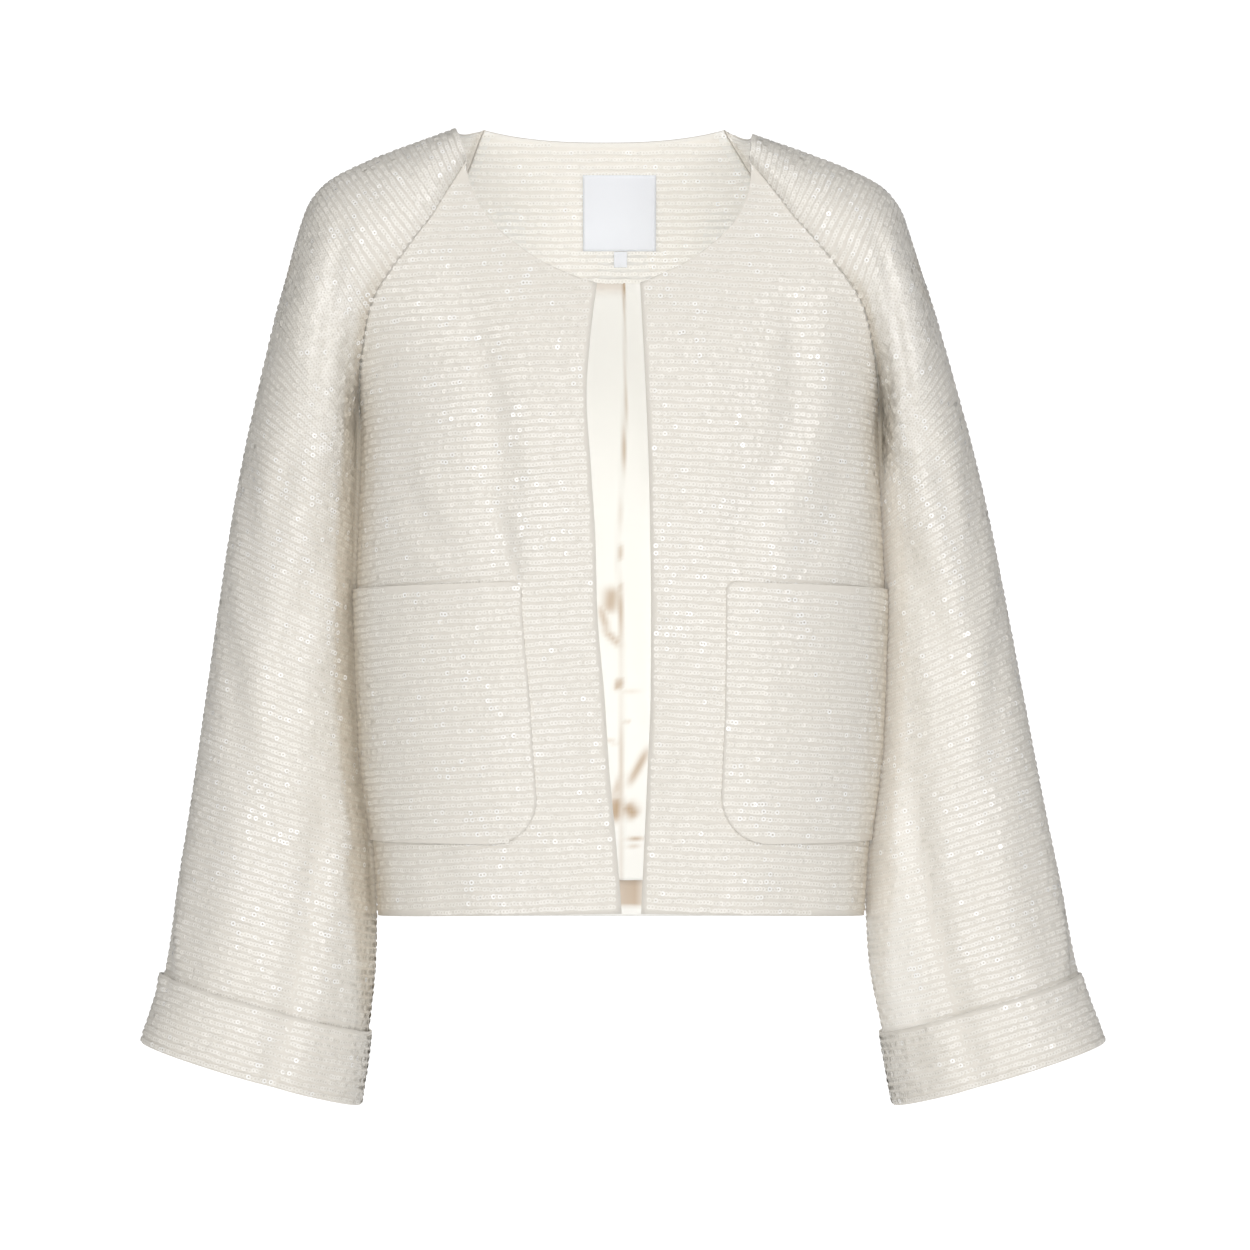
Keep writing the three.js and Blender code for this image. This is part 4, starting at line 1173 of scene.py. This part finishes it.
# The facing and its sequins glow with painted light (fill) that lifts the shade between the rows
panel = sheet_mesh("back_facing_cloth", points, cloth, FACING_CLOTH, [GROUND_FINISH, GROUND_FINISH],
                   {"shade": facing_shade(turn, z), "fill": np.ones(turn.shape)})
rings = strew("back_facing_sequins", facing, body_heart, BODY_STEPS, back_rows(-98.5, 4, 38), 0.15, flip=True,
              shaded=facing_shade, fill=1.0)
finish_sheet(panel, "back_facing", "sequin_cloth", flat=(0.25, 0.1), held="hung", rests_on=["back_cloth"],
             with_pieces=[rings])

# The facing goes on inside each sleeve's head
for word, side in SIDES.items():
    outer, heart = sleeve_surface(side), sleeve_heart(side)

    def inside_sleeve(depth):
        def surface(ring, share):
            ring, share = np.broadcast_arrays(np.asarray(ring, float), np.asarray(share, float))
            kept = np.clip(share, 0.004, 0.996)
            normal = normals_of(outer, ring, kept, heart, SLEEVE_STEPS)
            near = smoothstep(np.abs(share - 0.5), 0.38, 0.5)
            front, back = (blended(normal, side, facing, ring, near) for facing in (-1, 1))
            return outer(ring, share) - np.where((share < 0.5)[..., None], front, back) * depth
        return surface

    ring = stretches((2.6, 0.005, 20))[:, None] + np.zeros(61)
    share = np.linspace(0.006, 0.994, 61) + 0 * ring
    ring, share = ordered(side, ring, share)
    turn = sleeve_ring(side, ring)[5] * (2 * share - 1)
    cloth = np.stack([turn * MM_PER_TURN, -ring * RING_STEP], -1)
    points = inside_sleeve(FACING_DEPTH - FACING_CLOTH)(ring, share)
    panel = sheet_mesh(f"sleeve_facing_{word}_cloth", points, cloth, FACING_CLOTH,
                       [GROUND_FINISH, GROUND_FINISH],
                       {"shade": 0.5 * smoothstep(share, 0.8, 1), "fill": np.ones(share.shape)})
    surface = inside_sleeve(FACING_DEPTH)
    shares = np.linspace(0.01, 0.99, 160)
    rows = [(np.full(160, value), shares) for value in even_rings(surface, 0.02, 2.6, SEQUIN["row"])]
    rings = strew(f"sleeve_facing_{word}_sequins", surface, heart, SLEEVE_STEPS, rows, 0.15, flip=True,
                  shaded=lambda ring, share: 0.5 * smoothstep(share, 0.8, 1), fill=1.0)
    finish_sheet(panel, f"sleeve_facing_{word}", "sequin_cloth", flat=(0.235, 0.052), held="hung",
                 rests_on=[f"sleeve_{word}_cloth"], with_pieces=[rings])


LINING_DEPTH = SHELL + 0.9 + 1.0
SATIN_THICK = 0.5
PLEAT = {"wide": 17, "high": 1.8}
PLEAT_LINE = table(
    "z x",
    (-101, 14.7), (-186, 15.8), (-245, 13.6), (-296, 10.4),
    (-350, 13), (-392, 13.3), (-468, 13.3), (-529, 12.4),
)
# Painted reflections: spots where the satin is painted warm brown as if it reflected what stands before it.
# Lean is from upright, over to the right.
PAINTED_REFLECTIONS = table(
    "x z wide high lean share",
    (11.5, -294, 1.2, 6, 0.1, 0.45),
    (10.6, -319, 1.3, 4, 0, 0.7),
    (4.5, -328, 5.5, 9, 0.1, 0.6),
    (-0.8, -341, 2.8, 9, -0.3, 0.5),
    (5.5, -355, 2.6, 9, -0.8, 0.5),
    (10.2, -388.5, 2.6, 4.2, 0.2, 0.75),
    (19, -394, 6, 1.8, 0, 0.18),
    (16.5, -416, 1.5, 1.4, 0, 0.5),
    (4, -429.5, 6, 1.6, 0.2, 0.25),
    (24.5, -447.5, 3, 14, 0.5, 0.6),
    (9.5, -461, 2.6, 9, 0.35, 0.42),
    (8, -478, 5, 9, 0.1, 0.75),
    (19, -479, 5, 6, -0.7, 0.72),
    (22.5, -499, 5.5, 1.8, 0, 0.62),
    (21, -504, 4, 1.5, 0, 0.35),
)


def lining_grid():
    """The lining's points with their turns, heights and painted shade and reflection, finer by the pleat"""
    parts = ((-0.95, -0.12, 40), (-0.1, 0.14, 49), (0.16, 0.95, 40))
    share = np.concatenate([np.linspace(*part) for part in parts])
    z = np.linspace(LINING_FOOT, -98, 160)[:, None]
    turn = seam_turn("back", z) * share
    base = body_form(1, turn, z, 1)
    line = smooth_value(PLEAT_LINE["z"], PLEAT_LINE["x"], z)
    offset = base[..., 0] - line
    slope = np.clip(1 - offset / PLEAT["wide"], 0, 1)
    pleat = PLEAT["high"] * np.where(offset < 0, smoothstep(offset, -0.9, 0), slope)
    wrinkles = 0.5 * np.sin(turn / 3.1 + z / 90) * np.sin(z / 47 + turn / 9)
    wrinkles = wrinkles + 0.35 * np.sin(turn * 1.1 + z / 31)
    pucker = 0.8 * np.exp((z + 100) / 14) * np.sin(turn * 1.9)
    near_facing = smoothstep(z, -108, -99)
    tuck = 1.7 * near_facing
    depth = LINING_DEPTH + pleat * (1 - 0.7 * near_facing) + wrinkles * 0.6 + pucker * 0.5 - tuck
    points = inside_back(depth)(turn, z)
    x = base[..., 0]
    # Painted shade: warm brown along the pleat line, and left of it just under the facing's edge
    crease = np.exp(-((offset + 0.7) / 1.0) ** 2) * (0.35 + 0.65 * smoothstep(np.sin(z / 19), -0.6, 0.9))
    left_of_line = (offset < 0) * np.exp(-(((z + 102) / 5) ** 2))
    painted_shade_and_reflection = 0.7 * crease + 0.4 * left_of_line + 0 * x
    for row in zip(*PAINTED_REFLECTIONS.values()):
        spot_x, spot_z, wide, high, lean, share = row
        along = (z - spot_z) * math.cos(lean) + (x - spot_x) * math.sin(lean)
        beside = (x - spot_x) * math.cos(lean) - (z - spot_z) * math.sin(lean)
        painted_shade_and_reflection = np.maximum(painted_shade_and_reflection, 1.3 * share * np.exp(-((beside / wide) ** 2) - (along / high) ** 4))
    painted_shade_and_reflection = np.clip(painted_shade_and_reflection, 0, 1)
    return points, turn, z + 0 * turn, painted_shade_and_reflection


points, turn, z, painted_shade_and_reflection = lining_grid()
panel = sheet_mesh("lining_back_satin", points, cloth_of(turn, z), SATIN_THICK, [SATIN_FINISH, SATIN_FINISH],
                   {"painted_shade_and_reflection": painted_shade_and_reflection})
finish_sheet(panel, "lining_back", "satin", flat=(0.54, 0.43), area=0.185, held="hung",
             rests_on=["back_cloth"])


TAPE = {"thick": 0.35, "deeper": 1.2}


def label(name, x0, x1, z0, z1, bow):
    """A bare woven tape on the facing, whose lower corners bow inwards"""
    depth = FACING_DEPTH + TAPE["deeper"]
    x = np.linspace(x1, x0, 25)
    z = np.linspace(z0, z1, 25)[:, None] + 0 * x
    turn = turn_of(x - body_middle(z), z)
    across, up = np.linspace(-1, 1, 25), np.linspace(0, 1, 25)[:, None]
    lift = bow * (across**2) * (1 - up) ** 2
    points = inside_back(depth + lift)(turn, z)
    cloth = np.stack([x + 0 * z, z], -1)
    panel = sheet_mesh(name + "_tape", points, cloth, TAPE["thick"], [LABEL_FINISH, LABEL_FINISH])
    finish_sheet(panel, name, "label", flat=(max(x1 - x0, 10) * MM, (z1 - z0) * MM), held="hung",
                 rests_on=["back_facing_cloth"])


label("neck_label", -15.4, 36.9, -76.9, -23.7, 0.8)
label("size_tab", 6.8, 16.2, -88.5, -77.4, 0.4)


# Studio: a pale floor, soft light and the camera
FLOOR = -1.42


def stage():
    form = bmesh.new()
    bmesh.ops.create_circle(form, cap_ends=True, segments=96, radius=5.4)
    bmesh.ops.translate(form, verts=form.verts[:], vec=(0, 0, FLOOR))
    mesh = bpy.data.meshes.new("floor")
    form.to_mesh(mesh)
    form.free()
    mesh.materials.append(new_finish("pale_floor").surface(
        base_color=(0.9, 0.9, 0.9, 1), roughness=0.9, emission_color=(1, 1, 1, 1), emission_strength=0.3,
    ))
    floor = bpy.data.objects.new("floor", mesh)
    bpy.context.scene.collection.objects.link(floor)


def soft_light(name, place, size, power, target=(0.015, 0, -0.35), colour=(1, 1, 1), hidden=False):
    data = bpy.data.lights.new(name, "AREA")
    data.shape = "RECTANGLE"
    data.size, data.size_y = size
    data.energy = power
    data.color = colour
    lamp = bpy.data.objects.new(name, data)
    bpy.context.scene.collection.objects.link(lamp)
    lamp.visible_camera = lamp.visible_glossy = not hidden
    lamp.location = place
    lamp.rotation_mode = "QUATERNION"
    lamp.rotation_quaternion = (Vector(target) - Vector(place)).to_track_quat("-Z", "Y")
    return lamp


stage()
soft_light("front_wall", (0.0, -7.0, 0.3), (5.0, 4.0), 174)
soft_light("softbox_left", (-2.3, -3.6, 1.0), (1.2, 1.2), 23, colour=(1, 0.97, 0.93))
soft_light("softbox_right", (2.2, -3.7, 0.6), (1.0, 1.0), 30, colour=(1, 0.99, 1))
soft_light("top", (0.1, -1.3, 2.8), (3.0, 3.0), 34)
soft_light("behind", (0.4, 5.0, 0.9), (4.0, 3.0), 62, hidden=True)
soft_light("inside", (0.018, -0.03, -0.335), (0.2, 0.42), 0.205, (0.018, 1, -0.335),
           colour=(0.97, 0.98, 1), hidden=True)

# The world lights the jacket faintly, and the camera sees it as white
studio = Graph(bpy.data.worlds.new("studio"))
faint = studio.add("ShaderNodeBackground", None, {0: (1, 1, 1, 1), 1: 0.20})
white = studio.add("ShaderNodeBackground", None, {0: (1, 1, 1, 1), 1: 1.2})
seen = studio.add("ShaderNodeLightPath", out="Is Camera Ray")
both = studio.add("ShaderNodeMixShader", None, {0: seen, 1: faint, 2: white})
studio.add("ShaderNodeOutputWorld", None, {0: both})
bpy.context.scene.world = studio.owner
bpy.context.scene.view_settings.view_transform = "Standard"

CAMERA = {"x": 0.0147, "y": -4.0, "z": -0.3458, "view_width": 0.875, "sensor": 36}
data = bpy.data.cameras.new("camera")
data.sensor_width = CAMERA["sensor"]
data.lens = -CAMERA["y"] * CAMERA["sensor"] / CAMERA["view_width"]
data.clip_start, data.clip_end = 0.1, 60
camera = bpy.data.objects.new("camera", data)
bpy.context.scene.collection.objects.link(camera)
camera.location = (CAMERA["x"], CAMERA["y"], CAMERA["z"])
camera.rotation_euler = (math.pi / 2, 0, 0)
bpy.context.scene.camera = camera
